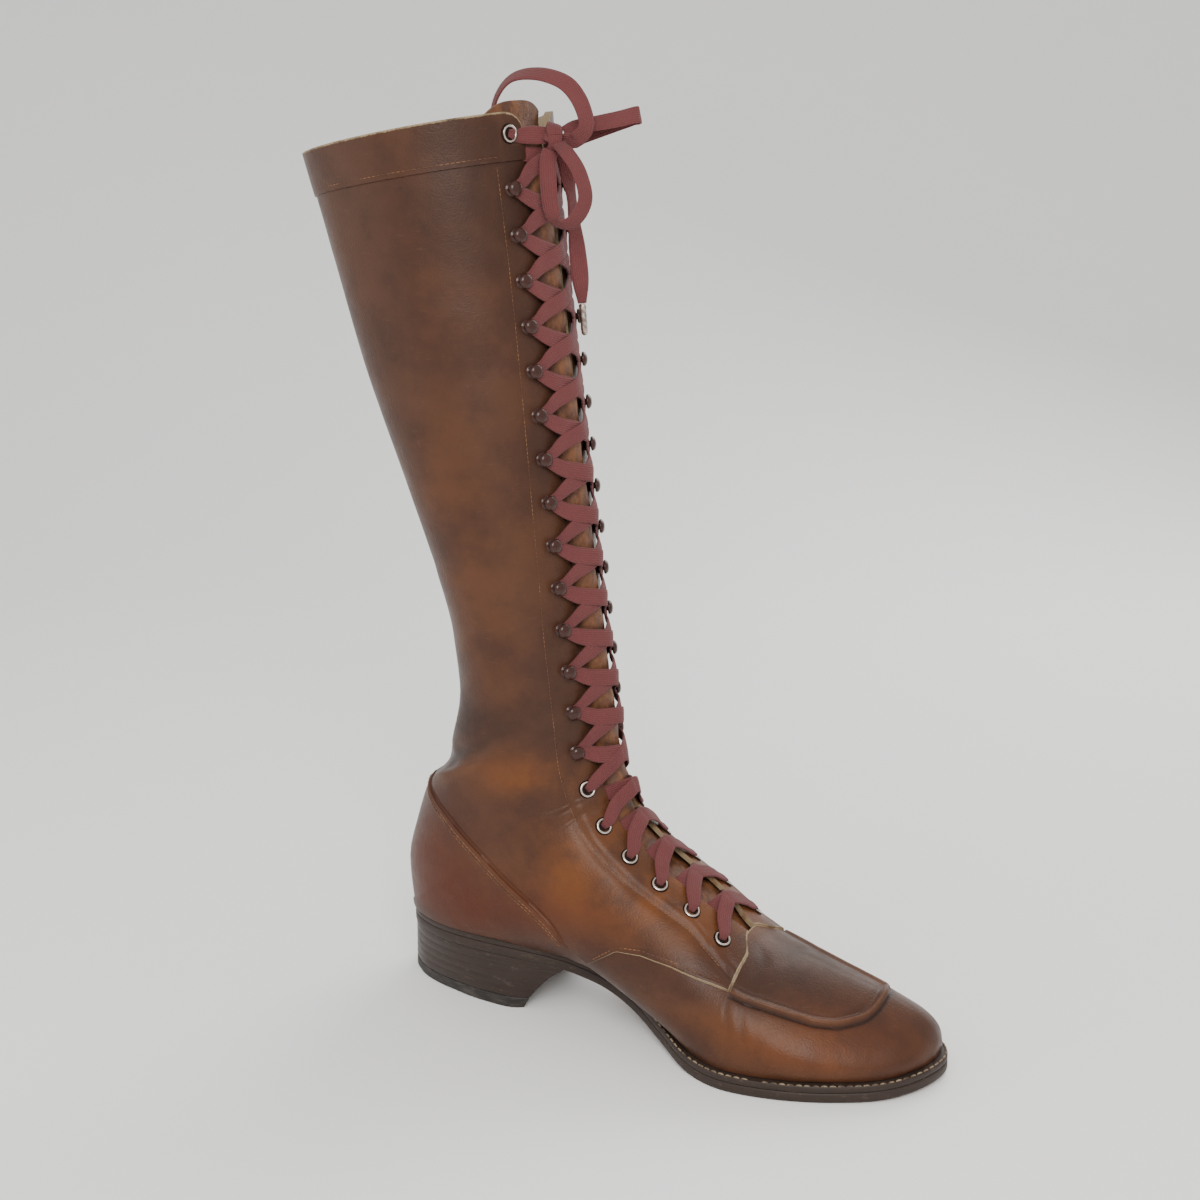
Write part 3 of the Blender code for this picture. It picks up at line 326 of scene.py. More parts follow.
BOW = {
    "lace_loop_hanging": (
        ((7.5, -5.5, -4.3), (0.4, -6.3, -8.9)),
        ((94.8, -9.8, 392.6), (100.1, -9.8, 385.4), (103.0, -9.8, 375.5),
         (100.8, -10.0, 368.7), (95.6, -10.4, 364.0), (90.2, -11.2, 364.4),
         (87.6, -12.0, 370.3), (86.4, -11.6, 381.5)),
        ((0.0, 0.5, -0.8, 0.6), (0.3, 0.8, -0.5, 0.2), (0.5, 0.7, -0.6, -0.4),
         (0.65, 0.2, -0.5, -0.9), (0.8, 0.2, -0.95, 0.1), (1.0, 0.5, -0.85, 0.1)),
        ((0.0, 0.75), (0.2, 0.9), (0.5, 0.9), (0.8, 1.0), (1.0, 0.9))),
    "lace_loop_flat": (
        ((7.0, 6.0, 4.5), (0.5, 8.5, -2.0)),
        ((96.4, 4.6, 403.6), (102.0, 5.6, 404.4), (110.0, 7.6, 405.8), (116.0, 9.6, 407.2),
         (117.4, 12.2, 407.2), (113.4, 14.6, 406.4), (107.4, 13.8, 404.6),
         (98.3, 12.4, 401.6), (90.6, 10.6, 398.8)),
        ((0.0, 0.2, -0.9, 0.5), (0.4, 0.35, -0.85, 0.5), (0.5, 0.9, -0.1, 0.2),
         (0.6, -0.3, 0.9, -0.4), (1.0, -0.3, 0.9, -0.4)),
        ((0.0, 0.8), (0.3, 1.0), (0.7, 1.0), (1.0, 0.8))),
    "lace_end_back": (
        ((6.0, 0.4, -0.8),),
        ((96.4, -3.2, 398.4), (99.8, -3.0, 401.8), (100.2, -3.0, 406.4), (96.6, -3.0, 414.6),
         (90.4, -4.0, 421.0), (79.0, -5.6, 424.4), (67.4, -7.0, 423.0), (60.0, -8.0, 415.0),
         (57.0, -8.5, 402.0), (56.0, -8.5, 388.0), (55.6, -8.5, 374.0)),
        ((0.0, 0.5, -0.8, -0.3), (0.2, 0.8, -0.6, -0.2), (0.35, 0.8, -0.55, 0.3),
         (0.5, 0.2, -0.75, 0.6), (0.65, -0.2, -0.6, 0.8), (1.0, -0.95, -0.3, 0.1)),
        ((0.0, 0.8), (0.15, 1.0), (1.0, 0.95))),
    "lace_end_hanging": (
        ((0.8, 5.1, -6.9),),
        ((86.8, 3.8, 384.4), (88.0, 5.0, 374.8), (88.6, 6.0, 363.6), (89.3, 7.0, 351.9),
         (90.0, 8.0, 339.2), (90.6, 8.2, 329.0)),
        ((0.0, 0.6, -0.8, 0.0), (0.35, 0.75, -0.6, 0.1), (0.5, 0.95, 0.35, 0.1),
         (0.62, 0.7, -0.7, 0.1), (1.0, 0.6, -0.8, 0.0)),
        ((0.0, 0.85), (0.4, 0.9), (0.5, 0.8), (0.65, 1.0), (0.9, 1.0), (1.0, 0.5))),
}
# The tip's outline from the lace's end to its point: radius, distance
TIP_PROFILE = ((0.0, 0.3), (1.35, 0.3), (1.6, 0.7), (1.6, 2.2), (1.5, 2.5), (1.5, 11.0),
               (1.35, 12.8), (0.9, 13.7), (0.0, 14.0))
TIP_SIDES = 14
TIPS = {"lace_end_back": "lace_tip_back", "lace_end_hanging": "lace_tip_hanging"}

tip_metal = Finish("tip_metal", metallic=1.0)
tarnish = tip_metal.clouds(1.5, 4.0)
tip_finish = tip_metal.cover(
    tip_metal.blend((0.5, 0.44, 0.38), (0.22, 0.17, 0.14), tarnish.clear_of(0.4, 0.65)),
    tarnish * 0.3 + 0.25, tip_metal.clouds(0.3), 0.05)


def lace_tip(name, rows):
    """The rolled metal tip on a lace's last point."""
    start, along = rows[-1, :3], rows[-1, :3] - rows[-2, :3]
    along /= np.linalg.norm(along)
    turned = Vector(along).to_track_quat("Z", "X").to_matrix()
    points, faces, count = [], [], len(TIP_PROFILE)
    for k in range(TIP_SIDES):
        angle = 2 * math.pi * k / TIP_SIDES
        for radius, height in TIP_PROFILE:
            spot = Vector((radius * math.cos(angle), radius * math.sin(angle), height))
            points.append(start + np.array(turned @ spot))
        for n in range(count - 1):
            a, b = k * count + n, (k + 1) % TIP_SIDES * count + n
            faces.append([a, b, b + 1, a + 1])
    tip = add_mesh(name, points, faces, [tip_finish])
    return tip


for name, (exits, middle, facings, widths) in BOW.items():
    rows = bow_rows(exits, middle, facings, widths)
    points, faces, sides, lengths = lace_strip(rows)
    strip = add_mesh(name + "_ribbon", points, faces, [lace_finish],
                     {"across": sides, "along": lengths}, sharp=70.0)
    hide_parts(name)
    path = [tuple(metres(p)) for p in rows[:, :3]]
    if name in TIPS:
        tip = lace_tip(TIPS[name] + "_rolled", rows)
        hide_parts(TIPS[name])

# The knot: two turns of the lace, one across the other: tilt, reach and twist
KNOT_TURNS = ((0.35, 0.92, 1.5), (-0.9, 0.8, 0.2))
knot_parts = []
for tilt, reach, lift in KNOT_TURNS:
    rows = []
    upright = np.array((-0.15, 0.1, 1.0))
    sideways = np.cross(TO_CAMERA, upright)
    axis = upright * math.sin(tilt) + sideways * math.cos(tilt)
    axis /= np.linalg.norm(axis)
    first = TO_CAMERA - axis * (TO_CAMERA @ axis)
    first /= np.linalg.norm(first)
    second = np.cross(axis, first)
    for k in range(14):
        angle = 2 * math.pi * k / 13
        out = first * math.cos(angle) + second * math.sin(angle)
        radius = reach / np.linalg.norm(out / KNOT_RADII)
        place = KNOT_CENTRE + out * radius + axis * lift * math.sin(angle)
        rows.append([*place, *out, LACE_WIDTH * (0.85 + 0.1 * math.sin(3 * angle))])
    knot_parts.append(lace_strip(respaced(rows, 1.0)))
points, faces, sides, lengths = join_parts(knot_parts)
knot = add_mesh("lace_knot_wrapped", points, faces, [lace_finish],
                {"across": sides, "along": lengths}, sharp=70.0)
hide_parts("lace_knot")

# ---------------------------------------------------------------------------
# Outsole, welt and insole. Sole leather with blackened, burnished edges; the welt is a
# narrow strip all the way round, sewn down with waxed cream thread.
# ---------------------------------------------------------------------------
OUTSOLE_THICKNESS = 4.7
WELT_THICKNESS = 3.0
SEAM_GAP = 0.3
SOLE_OUTLINE = (
    (0.6, 0.0), (3.2, -14.5), (13.4, -25.5), (33.0, -32.6), (58.0, -33.0), (80.0, -29.0),
    (97.0, -23.2), (112.0, -19.9), (128.0, -22.6), (146.0, -32.2), (161.0, -42.2),
    (176.0, -48.0), (190.0, -48.8), (210.0, -44.8), (230.0, -37.0), (249.0, -26.2),
    (260.5, -12.5), (266.0, 2.0), (264.5, 12.5),
    (257.0, 21.5), (240.0, 31.0), (214.0, 36.2), (186.0, 33.8), (155.0, 25.5), (120.0, 20.0),
    (88.0, 24.0), (58.0, 31.0), (32.0, 31.6), (14.0, 25.0), (4.0, 14.0),
)
SOLE_UNDERSIDE = (
    (0.0, 30.0), (30.0, 30.0), (60.0, 29.3), (80.0, 27.3), (92.0, 24.5), (102.0, 21.0),
    (113.0, 16.6), (127.0, 10.8), (141.0, 5.8), (153.0, 2.6), (166.0, 0.5), (176.0, 0.0),
    (222.0, 0.0), (238.0, 0.3), (250.0, 0.9), (262.0, 1.8), (270.0, 2.6),
)
WELT_REACH = ((0.0, 1.0), (90.0, 1.2), (150.0, 3.0), (270.0, 3.2))


def smooth(table, value, column=1):
    """Read a table at a value, or at many, with a monotone cubic."""
    xs = np.array([row[0] for row in table], float)
    ys = np.array([row[column] for row in table], float)
    steps = np.diff(xs)
    slopes = np.diff(ys) / steps
    grads = np.zeros(len(xs))
    for i in range(1, len(xs) - 1):
        if slopes[i - 1] * slopes[i] > 0.0:
            before = 2.0 * steps[i] + steps[i - 1]
            after = steps[i] + 2.0 * steps[i - 1]
            grads[i] = (before + after) / (before / slopes[i - 1] + after / slopes[i])
    grads[0], grads[-1] = slopes[0], slopes[-1]
    value = np.clip(value, xs[0], xs[-1])
    i = np.minimum(np.searchsorted(xs, value, side="right") - 1, len(steps) - 1)
    u = (value - xs[i]) / steps[i]
    return (ys[i] * (1 + 2 * u) * (1 - u) ** 2 + ys[i + 1] * u * u * (3 - 2 * u)
            + steps[i] * (grads[i] * u * (1 - u) ** 2 + grads[i + 1] * u * u * (u - 1)))


def ease(value, low, high):
    """0 below low, 1 above high, smooth between."""
    u = np.clip((value - low) / (high - low), 0.0, 1.0)
    return u * u * (3.0 - 2.0 * u)


def underside(x):
    """Height of the outsole's underside at x."""
    return smooth(SOLE_UNDERSIDE, x)


def inset(outline, reach):
    """The outline moved inward by a reach, along its own normals."""
    along = np.roll(outline, -1, axis=0) - np.roll(outline, 1, axis=0)
    along /= np.linalg.norm(along, axis=1)[:, None]
    return outline + np.stack([-along[:, 1], along[:, 0]], axis=1) * np.reshape(reach, (-1, 1))


def edge_y(outline, x, side):
    """Where the outline is at x on one side: -1 the outer side, +1 the inner side."""
    back = int(np.argmin(outline[:, 0]))
    tip = (int(np.argmax(outline[:, 0])) - back) % len(outline)
    turned = np.roll(outline, -back, axis=0)
    half = turned[:tip + 1] if side < 0 else np.vstack([turned[tip:], turned[:1]])[::-1]
    return np.interp(x, half[:, 0], half[:, 1])


corners = np.array(SOLE_OUTLINE)
SOLE = []
for a, b, c, d in zip(np.roll(corners, 1, 0), corners, np.roll(corners, -1, 0),
                      np.roll(corners, -2, 0)):
    for u in np.linspace(0.0, 1.0, 12, endpoint=False):
        SOLE.append(0.5 * (2 * b + (c - a) * u + (2 * a - 5 * b + 4 * c - d) * u * u
                           + (3 * b - a - 3 * c + d) * u ** 3))
SOLE = np.array(SOLE)
FEATHER = inset(SOLE, smooth(WELT_REACH, SOLE[:, 0]))


def under_foot(profile, spine_gap):
    """A plate under the foot swept round the sole's outline.

    The profile runs from the middle of the underside out, up the edge and back: how far
    in from the edge, as a share of the way to the spine, in mm, and the height.
    """
    spine = np.stack([np.clip(SOLE[:, 0], SOLE[:, 0].min() + spine_gap,
                              SOLE[:, 0].max() - spine_gap), SOLE[:, 1] * 0.0], axis=1)
    spine[:, 1] = (edge_y(SOLE, spine[:, 0], -1) + edge_y(SOLE, spine[:, 0], 1)) / 2
    points, faces = [], []
    count = len(SOLE)
    for share, reach, height in profile:
        ring = inset(SOLE, reach)
        ring = ring + (spine - ring) * share
        points += [(x, y, underside(x) + height) for x, y in ring]
    for n in range(len(profile) - 1):
        for k in range(count):
            j = (k + 1) % count
            faces.append([n * count + k, n * count + j, (n + 1) * count + j,
                          (n + 1) * count + k])
    return points, faces


edge_leather = Finish("sole_leather", specular_ior_level=0.22)
streaks = edge_leather.clouds(1.6, 5.0, 0.7, (0.08, 0.08, 1.0))
blotch = edge_leather.clouds(14.0, 4.0)
scuff = edge_leather.clouds(3.0, 5.0, 0.75, (0.35, 0.35, 1.0)).clear_of(0.56, 0.7)
tread = edge_leather.drawn("tread")
edge_tone = edge_leather.blend((0.018, 0.012, 0.0095), (0.048, 0.031, 0.024),
                               streaks * 0.6 + blotch * 0.4)
edge_tone = edge_leather.blend(edge_tone, (0.095, 0.066, 0.048), scuff * 0.5)
edge_tone = edge_leather.blend(
    edge_tone, edge_leather.blend((0.20, 0.13, 0.085), (0.10, 0.065, 0.045), blotch), tread)
sole_finish = edge_leather.cover(edge_tone, blotch * 0.25 + scuff * 0.15 + 0.36,
                                 streaks * 0.6 + scuff * 0.4, 0.22)

SOLE_PROFILE = [(1.0, 0.0, 0.0), (0.6, 0.0, 0.0), (0.2, 0.0, 0.0), (0.0, 2.0, 0.0),
                (0.0, 0.8, 0.05), (0.0, 0.25, 0.3), (0.0, 0.0, 0.8), (0.0, -0.05, 2.2),
                (0.0, 0.0, 3.9), (0.0, 0.25, 4.4), (0.0, 0.7, 4.7), (0.3, 0.0, 4.7),
                (1.0, 0.0, 4.7)]
points, faces = under_foot(SOLE_PROFILE, 30.0)
tread_share = [1.0 if row < 4 else 0.6 if row == 4 else 0.0
               for row in range(len(SOLE_PROFILE)) for _ in SOLE]
outsole = add_mesh("outsole_cut", points, faces, [sole_finish], {"tread": tread_share})
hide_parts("outsole")

welt_rise = OUTSOLE_THICKNESS + 0.05
WELT_PROFILE = [(0.0, 6.6, welt_rise), (0.0, 0.5, welt_rise), (0.0, 0.05, welt_rise + 0.4),
                (0.0, 0.0, welt_rise + 1.6), (0.0, 0.15, welt_rise + 2.6),
                (0.0, 0.5, welt_rise + 3.0), (0.0, 0.9, welt_rise + 2.9),
                (0.0, 1.4, welt_rise + 2.95), (0.0, 3.4, welt_rise + 3.1),
                (0.0, 6.6, welt_rise + 3.1), (0.0, 6.6, welt_rise)]
points, faces = under_foot(WELT_PROFILE, 30.0)
welt = add_mesh("welt_strip", points, faces, [sole_finish], {"tread": [0.0] * len(points)})
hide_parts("welt")


def stitches(line, outs, pitch, length, radius, sink=0.3):
    """Short rounded stitches laid end to end along a line of points on the leather."""
    rows = respaced(np.hstack([line, outs]), 0.4)
    run = np.arange(len(rows)) * np.linalg.norm(np.diff(rows[:2, :3], axis=0))
    points, faces = [], []
    for start in np.arange(pitch * 0.5, run[-1] - pitch, pitch):
        base = len(points)
        for n, share in enumerate(np.linspace(0.0, 1.0, 5)):
            at = start + share * length
            row = np.array([np.interp(at, run, rows[:, k]) for k in range(6)])
            ahead = np.array([np.interp(at + 0.3, run, rows[:, k]) for k in range(3)]) - row[:3]
            ahead /= max(np.linalg.norm(ahead), 1e-9)
            out = row[3:] - ahead * (row[3:] @ ahead)
            out /= np.linalg.norm(out)
            across = np.cross(out, ahead)
            swell = math.sin(math.pi * (0.12 + 0.76 * share)) ** 0.5
            centre = row[:3] + out * radius * (swell * 1.3 - 0.6 - sink)
            for k in range(6):
                angle = math.pi * k / 3
                points.append(centre + (across * math.cos(angle)
                                        + out * math.sin(angle)) * radius * swell)
            if n:
                a, b = base + (n - 1) * 6, base + n * 6
                faces += [[a + k, b + k, b + (k + 1) % 6, a + (k + 1) % 6] for k in range(6)]
        faces.append([base + k for k in range(6)])
        faces.append([base + 24 + k for k in range(6)][::-1])
    return points, faces


cream_thread = Finish("waxed_thread", specular_ior_level=0.3)
twist = cream_thread.clouds(0.6, 4.0, 0.6)
grime = cream_thread.clouds(7.0, 4.0, 0.65).clear_of(0.42, 0.62)
thread_finish = cream_thread.cover(
    cream_thread.blend((0.24, 0.18, 0.115), (0.06, 0.038, 0.025), grime),
    twist * 0.2 + 0.6, twist, 0.15)
ring = np.vstack([inset(SOLE, 0.75)[150:], inset(SOLE, 0.75)[:150]])
line = np.array([(x, y, underside(x) + welt_rise + 3.02) for x, y in ring])
points, faces = stitches(line, np.tile((0.0, 0.0, 1.0), (len(line), 1)), 3.6, 2.7, 0.42)
welt_stitches = add_mesh("welt_stitches", points, faces, [thread_finish])

board = Finish("insole_leather", specular_ior_level=0.3)
sweat = board.clouds(22.0, 4.0)
board_finish = board.cover(board.blend((0.42, 0.28, 0.16), (0.18, 0.11, 0.065), sweat),
                           sweat * 0.2 + 0.6, board.clouds(0.8, 4.0), 0.2)
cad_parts["insole"].data.materials.clear()
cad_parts["insole"].data.materials.append(board_finish)

# ---------------------------------------------------------------------------
# Heel. Leather lifts pegged into a stack, carved to shape, blackened and burnished, with
# a separate top lift on the floor.
# ---------------------------------------------------------------------------
HEEL_FOOT = (
    (-4.4, 0.0), (-2.2, -9.6), (9.2, -18.8), (19.5, -22.8), (29.0, -25.0), (43.0, -27.8),
    (57.0, -28.6), (66.0, -28.2), (70.0, -25.2),
)
BREAST_TOP_X = 92.0
BREAST_CURVE = (3.0, 4.0)
TOP_LIFT_THICKNESS = 6.0
HEEL_SAMPLES = 30


def heel_ring(level):
    """Outline of the heel at a level, from 0 at the floor to 1 under the outsole."""
    foot = np.array(HEEL_FOOT, float)
    run = np.concatenate([[0], np.cumsum(np.linalg.norm(np.diff(foot, axis=0), axis=1))])
    at = np.linspace(0.0, run[-1], HEEL_SAMPLES)
    foot = np.stack([np.interp(at, run, foot[:, 0]), np.interp(at, run, foot[:, 1])], axis=1)
    for _ in range(2):
        foot[1:-1] = (foot[:-2] + 2 * foot[1:-1] + foot[2:]) / 4
    back = SOLE[:, 0].min() + 0.6
    halves = []
    for side in (-1, 1):
        half = []
        for k in range(HEEL_SAMPLES):
            share = k / (HEEL_SAMPLES - 1)
            x_top = back + (BREAST_TOP_X - back) * (1 - math.cos(share * math.pi / 2)) ** 0.9
            y_top = edge_y(SOLE, x_top, side) - side * 0.6 if k else 0.0
            blend = level ** (1.0 + 0.2 * share * share)
            half.append((foot[k, 0] + (x_top - foot[k, 0]) * blend,
                         -side * foot[k, 1] + (y_top + side * foot[k, 1]) * blend))
        halves.append(half)
    outer, inner = halves
    breast = []
    for share in np.linspace(-1.0, 1.0, 13)[1:-1]:
        a, b = (outer[-1], inner[-1])
        y = a[1] + (b[1] - a[1]) * (share + 1) / 2
        x = (a[0] + b[0]) / 2 - BREAST_CURVE[1] * (1 - abs(share) ** 2.6)
        breast.append((x, y))
    return np.array(outer + breast + inner[:0:-1])


def heel_solid(levels):
    """Rings up the heel, each a level, how far in and a height, closed at both ends."""
    top = underside(40.0) - SEAM_GAP
    points, faces = [], []
    for low, reach in levels:
        ring = heel_ring(low / top)
        middle = np.array([40.0, 0.0])
        away = ring - middle
        ring = ring - away / np.linalg.norm(away, axis=1)[:, None] * reach
        for x, y in ring:
            ceiling = underside(x) - 0.05
            first = TOP_LIFT_THICKNESS
            z = low if low <= first else first + (low - first) * (ceiling - first) / (top - first)
            points.append((x, y, z))
    count = len(ring)
    for n in range(len(levels) - 1):
        for k in range(count):
            j = (k + 1) % count
            faces.append([n * count + k, n * count + j, (n + 1) * count + j,
                          (n + 1) * count + k])
    for start, centre_z in ((0, levels[0][0]), ((len(levels) - 1) * count, None)):
        height = centre_z if centre_z is not None else underside(40.0) - 0.05
        points.append((40.0, 0.0, height))
        for k in range(count):
            faces.append([start + (k + 1) % count, start + k, len(points) - 1])
    return points, faces


stack = Finish("stacked_leather", specular_ior_level=0.2)
lifts = stack.clouds(1.1, 4.0, 0.6, (0.03, 0.03, 1.0))
patch = stack.clouds(12.0, 4.0, 0.6)
knock = stack.clouds(4.0, 5.0, 0.75, (0.5, 0.5, 1.2)).clear_of(0.57, 0.72)
stack_tone = stack.blend((0.015, 0.010, 0.008), (0.050, 0.032, 0.025), lifts * 0.5 + patch * 0.5)
stack_tone = stack.blend(stack_tone, (0.10, 0.073, 0.056), knock * 0.55)
stack_finish = stack.cover(stack_tone, patch * 0.3 + knock * 0.2 + 0.28,
                           lifts * 0.8 + knock * 0.5, 0.25)
levels = [(TOP_LIFT_THICKNESS + 0.15, 0.7), (TOP_LIFT_THICKNESS + 0.3, 0.3),
          (TOP_LIFT_THICKNESS + 0.7, 0.12)]
lift_tops = np.linspace(TOP_LIFT_THICKNESS + 0.7, underside(40.0) - 1.0, 6)
for low, high in zip(lift_tops, lift_tops[1:]):
    levels += [(low + (high - low) * share, reach)
               for share, reach in ((0.08, 0.1), (0.5, 0.0), (0.9, 0.08), (0.97, 0.2))]
levels += [(underside(40.0) - 0.7, 0.1), (underside(40.0) - SEAM_GAP, 0.5)]
heel = add_mesh("heel_stack_carved", *heel_solid(levels), [stack_finish])
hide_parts("heel_stack")

rubber = Finish("top_lift_rubber", specular_ior_level=0.35)
dust = rubber.clouds(5.0, 5.0, 0.7, (0.5, 0.5, 1.5))
rubber_finish = rubber.cover(
    rubber.blend((0.016, 0.013, 0.0115), (0.055, 0.045, 0.038), dust.clear_of(0.4, 0.7)),
    dust * 0.3 + 0.5, dust, 0.3)
levels = [(0.0, 1.2), (0.12, 0.5), (0.5, 0.1), (3.0, 0.0), (5.4, 0.05), (5.8, 0.3), (6.0, 0.8)]
lift = add_mesh("heel_top_lift_worn", *heel_solid(levels), [rubber_finish])
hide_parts("heel_top_lift")

# ---------------------------------------------------------------------------
# Upper. Vamp, plug and quarters of worn brown leather over a pale lining, closed up the
# back. The plug's seam is a raised bead, the quarters lie on the vamp with raw edges, a
# counter cover is sewn on at the back and a cuff turned over at the top.
# ---------------------------------------------------------------------------
FEATHER_RISE = OUTSOLE_THICKNESS + WELT_THICKNESS + 2 * SEAM_GAP
LINING_SHAFT = 1.4
LINING_VAMP = 1.9
QUARTER_LIFT = 0.9
COUNTER_LIFT = 0.8
CUFF_LIFT = 0.7
BEAD_LIFT = 1.5
FLAP_CORNER = 11.0
CUFF_DEPTH = 20.0
STEP_WIDTH = 0.3
EDGE_MARGIN = 5.0
BACK_MARGIN = 14.0
PLUG_TOE_KEYS = (38.0, 48.0)
PLUG_TOE_ROWS = 0.5
SECTION_COLUMNS = ("front_x", "front_z", "base_x", "base_z", "mid_y", "out", "inn",
                   "widest", "top", "low")
SECTIONS = (
    (262.8, 16.6, 262.8, None, 5.5, 5.0, 5.0, 0.60, 1.8, 2.6),
    (259.6, 22.6, 259.6, None, 5.2, 14.5, 12.5, 0.66, 1.6, 2.8),
    (252.6, 28.6, 252.6, None, 4.6, 24.0, 20.5, 0.74, 1.45, 2.8),
    (241.4, 34.0, 241.4, None, 3.4, 31.8, 27.4, 0.78, 1.4, 2.8),
    (238.4, 35.2, 238.4, None, 3.0, 33.4, 28.8, 0.78, 1.4, 2.8),
    (235.4, 36.2, 235.4, None, 2.6, 34.8, 30.2, 0.78, 1.42, 2.8),
    (217.0, 42.0, 217.0, None, 0.0, 41.2, 35.2, 0.74, 1.5, 2.8),
    (198.0, 47.6, 198.0, None, -2.0, 43.6, 36.6, 0.68, 1.7, 2.7),
    (182.4, 51.9, 182.0, None, -3.0, 43.6, 36.4, 0.62, 1.9, 2.6),
    (181.6, 52.3, 181.0, None, -3.0, 43.5, 36.3, 0.62, 1.9, 2.6),
    (157.0, 69.6, 146.0, None, -3.0, 41.0, 36.6, 0.58, 2.0, 2.4),
    (130.0, 87.0, 108.0, None, -2.5, 38.4, 35.6, 0.56, 2.0, 2.3),
    (115.0, 101.0, 68.0, None, -2.0, 36.8, 35.2, 0.54, 2.05, 2.3),
    (109.3, 113.0, 28.0, None, -1.5, 36.4, 35.0, 0.52, 2.1, 2.3),
    (107.0, 119.0, 8.0, None, -1.0, 36.0, 34.8, 0.50, 2.1, 2.3),
    (105.8, 123.0, 2.6, 38.3, -1.0, 35.8, 34.6, 0.49, 2.1, 2.3),
    (104.2, 130.0, 1.0, 58.0, -1.0, 35.4, 34.4, 0.48, 2.1, 2.3),
    (102.9, 138.0, 6.6, 82.0, -1.0, 35.0, 34.2, 0.47, 2.1, 2.2),
    (102.0, 146.0, 16.0, 104.0, -1.2, 34.8, 34.0, 0.47, 2.1, 2.15),
    (101.5, 150.0, 21.6, 110.6, -1.3, 34.8, 34.0, 0.47, 2.1, 2.1),
    (101.0, 154.0, 24.2, 117.0, -1.4, 34.8, 34.0, 0.47, 2.1, 2.1),
    (99.9, 163.0, 29.8, 131.0, -1.6, 35.0, 34.2, 0.48, 2.1, 2.1),
    (98.3, 175.0, 35.2, 155.0, -1.8, 35.8, 35.0, 0.49, 2.1, 2.1),
    (96.0, 192.0, 33.7, 182.0, -2.0, 37.6, 36.8, 0.50, 2.1, 2.1),
    (93.6, 214.0, 26.3, 213.0, -2.0, 40.0, 39.4, 0.50, 2.1, 2.1),
    (90.0, 250.0, 13.4, 250.0, -2.0, 42.6, 42.0, 0.50, 2.1, 2.1),
    (85.2, 300.0, -5.4, 300.0, -2.0, 45.6, 45.2, 0.50, 2.1, 2.1),
    (79.8, 352.0, -19.2, 347.0, -2.0, 47.8, 47.6, 0.50, 2.1, 2.1),
    (76.0, 389.4, -27.1, 373.4, -2.0, 48.8, 48.8, 0.50, 2.1, 2.1),
    (75.9, 390.2, -27.4, 374.2, -2.0, 48.8, 48.8, 0.50, 2.1, 2.1),
    (74.4, 410.0, -32.8, 392.0, -2.0, 49.6, 49.8, 0.50, 2.1, 2.1),
    (73.6, 420.0, -35.5, 401.0, -2.0, 50.0, 50.2, 0.50, 2.1, 2.1),
)
# Rows of the table where a form starts or ends
THROAT, BACK, NARROWING, CUFF, COLLAR = 9, 15, 27, 29, 30
SEAM_LINE = (
    (264.0, 14.0), (250.0, 22.0), (242.0, 28.5), (238.0, 31.2),
    (234.0, 30.7), (226.0, 30.0), (217.0, 31.4), (202.0, 35.7),
    (191.0, 38.6), (184.0, 40.8), (178.0, 42.4), (167.0, 45.4),
    (155.0, 49.0), (141.0, 51.4), (129.0, 51.0), (119.0, 44.0),
    (112.0, 39.0), (104.0, 43.0), (93.7, 56.0), (85.2, 62.2),
    (75.2, 68.6), (63.3, 76.8), (52.3, 85.2), (39.8, 95.5),
    (26.3, 103.1), (18.0, 109.0), (25.0, 124.0),
    (44.0, 150.0), (50.0, 190.0), (44.0, 250.0), (34.0, 330.0),
    (26.0, 425.0),
)
# The plug's seam lies nearer the ridge on the inner side: x, how much higher
INNER_SEAM_RISE = ((180.0, 0.0), (188.0, 3.0), (205.0, 4.4), (226.0, 3.4), (236.0, 0.6),
                   (242.0, 0.0))
# The slit's half width, where each row counts from the throat up: key, width
SLIT = ((131.0, 3.6), (143.0, 4.6), (155.0, 6.8), (170.0, 8.8), (190.0, 10.0), (700.0, 10.0))
FACING_LINE = ((131.0, 31.0), (147.6, 29.1), (175.2, 26.4), (222.3, 28.0), (288.8, 28.4),
               (337.5, 28.8), (402.4, 28.6), (465.6, 27.4), (541.9, 25.8), (600.0, 25.0),
               (647.4, 25.4), (690.0, 25.6))


def section(key, side):
    """Points of the lining's half section, from the ridge to the base, and their run."""
    front = np.array([read("front_x", key), read("front_z", key)])
    base_x, mid = read("base_x", key), read("mid_y", key)
    width = read("out" if side < 0 else "inn", key)
    if key < KEYS[BACK] - 1e-6:
        base = np.array([base_x, underside(base_x) + FEATHER_RISE])
        foot = abs(edge_y(FEATHER, base_x, side) - mid)
        width = max(width, foot * 1.02 + 0.05)
    else:
        base, foot = np.array([base_x, read("base_z", key)]), 0.0
    depth = float(np.linalg.norm(base - front))
    along = (base - front) / depth
    widest = read("widest", key) * depth
    top, low = read("top", key), read("low", key)
    cut = 1.0 - (foot / width) ** low
    turn = np.linspace(0.0, math.pi / 2, 60)
    rest = np.linspace(0.0, math.asin(math.sqrt(cut)), 61)[1:]
    down = np.concatenate([
        widest * (1.0 - np.cos(turn) ** (2.0 / top)),
        widest + (depth - widest) * np.sin(rest) ** (2.0 / low) / cut ** (1.0 / low)])
    across = np.concatenate([width * np.sin(turn) ** (2.0 / top),
                             width * np.maximum(np.cos(rest), 0.0) ** (2.0 / low)])
    across[-1] = foot
    points = np.stack([front[0] + along[0] * down, mid + side * across,
                       front[1] + along[1] * down], axis=1)
    run = np.concatenate([[0.0], np.cumsum(np.linalg.norm(np.diff(points, axis=0), axis=1))])
    return points, run, down, front, along


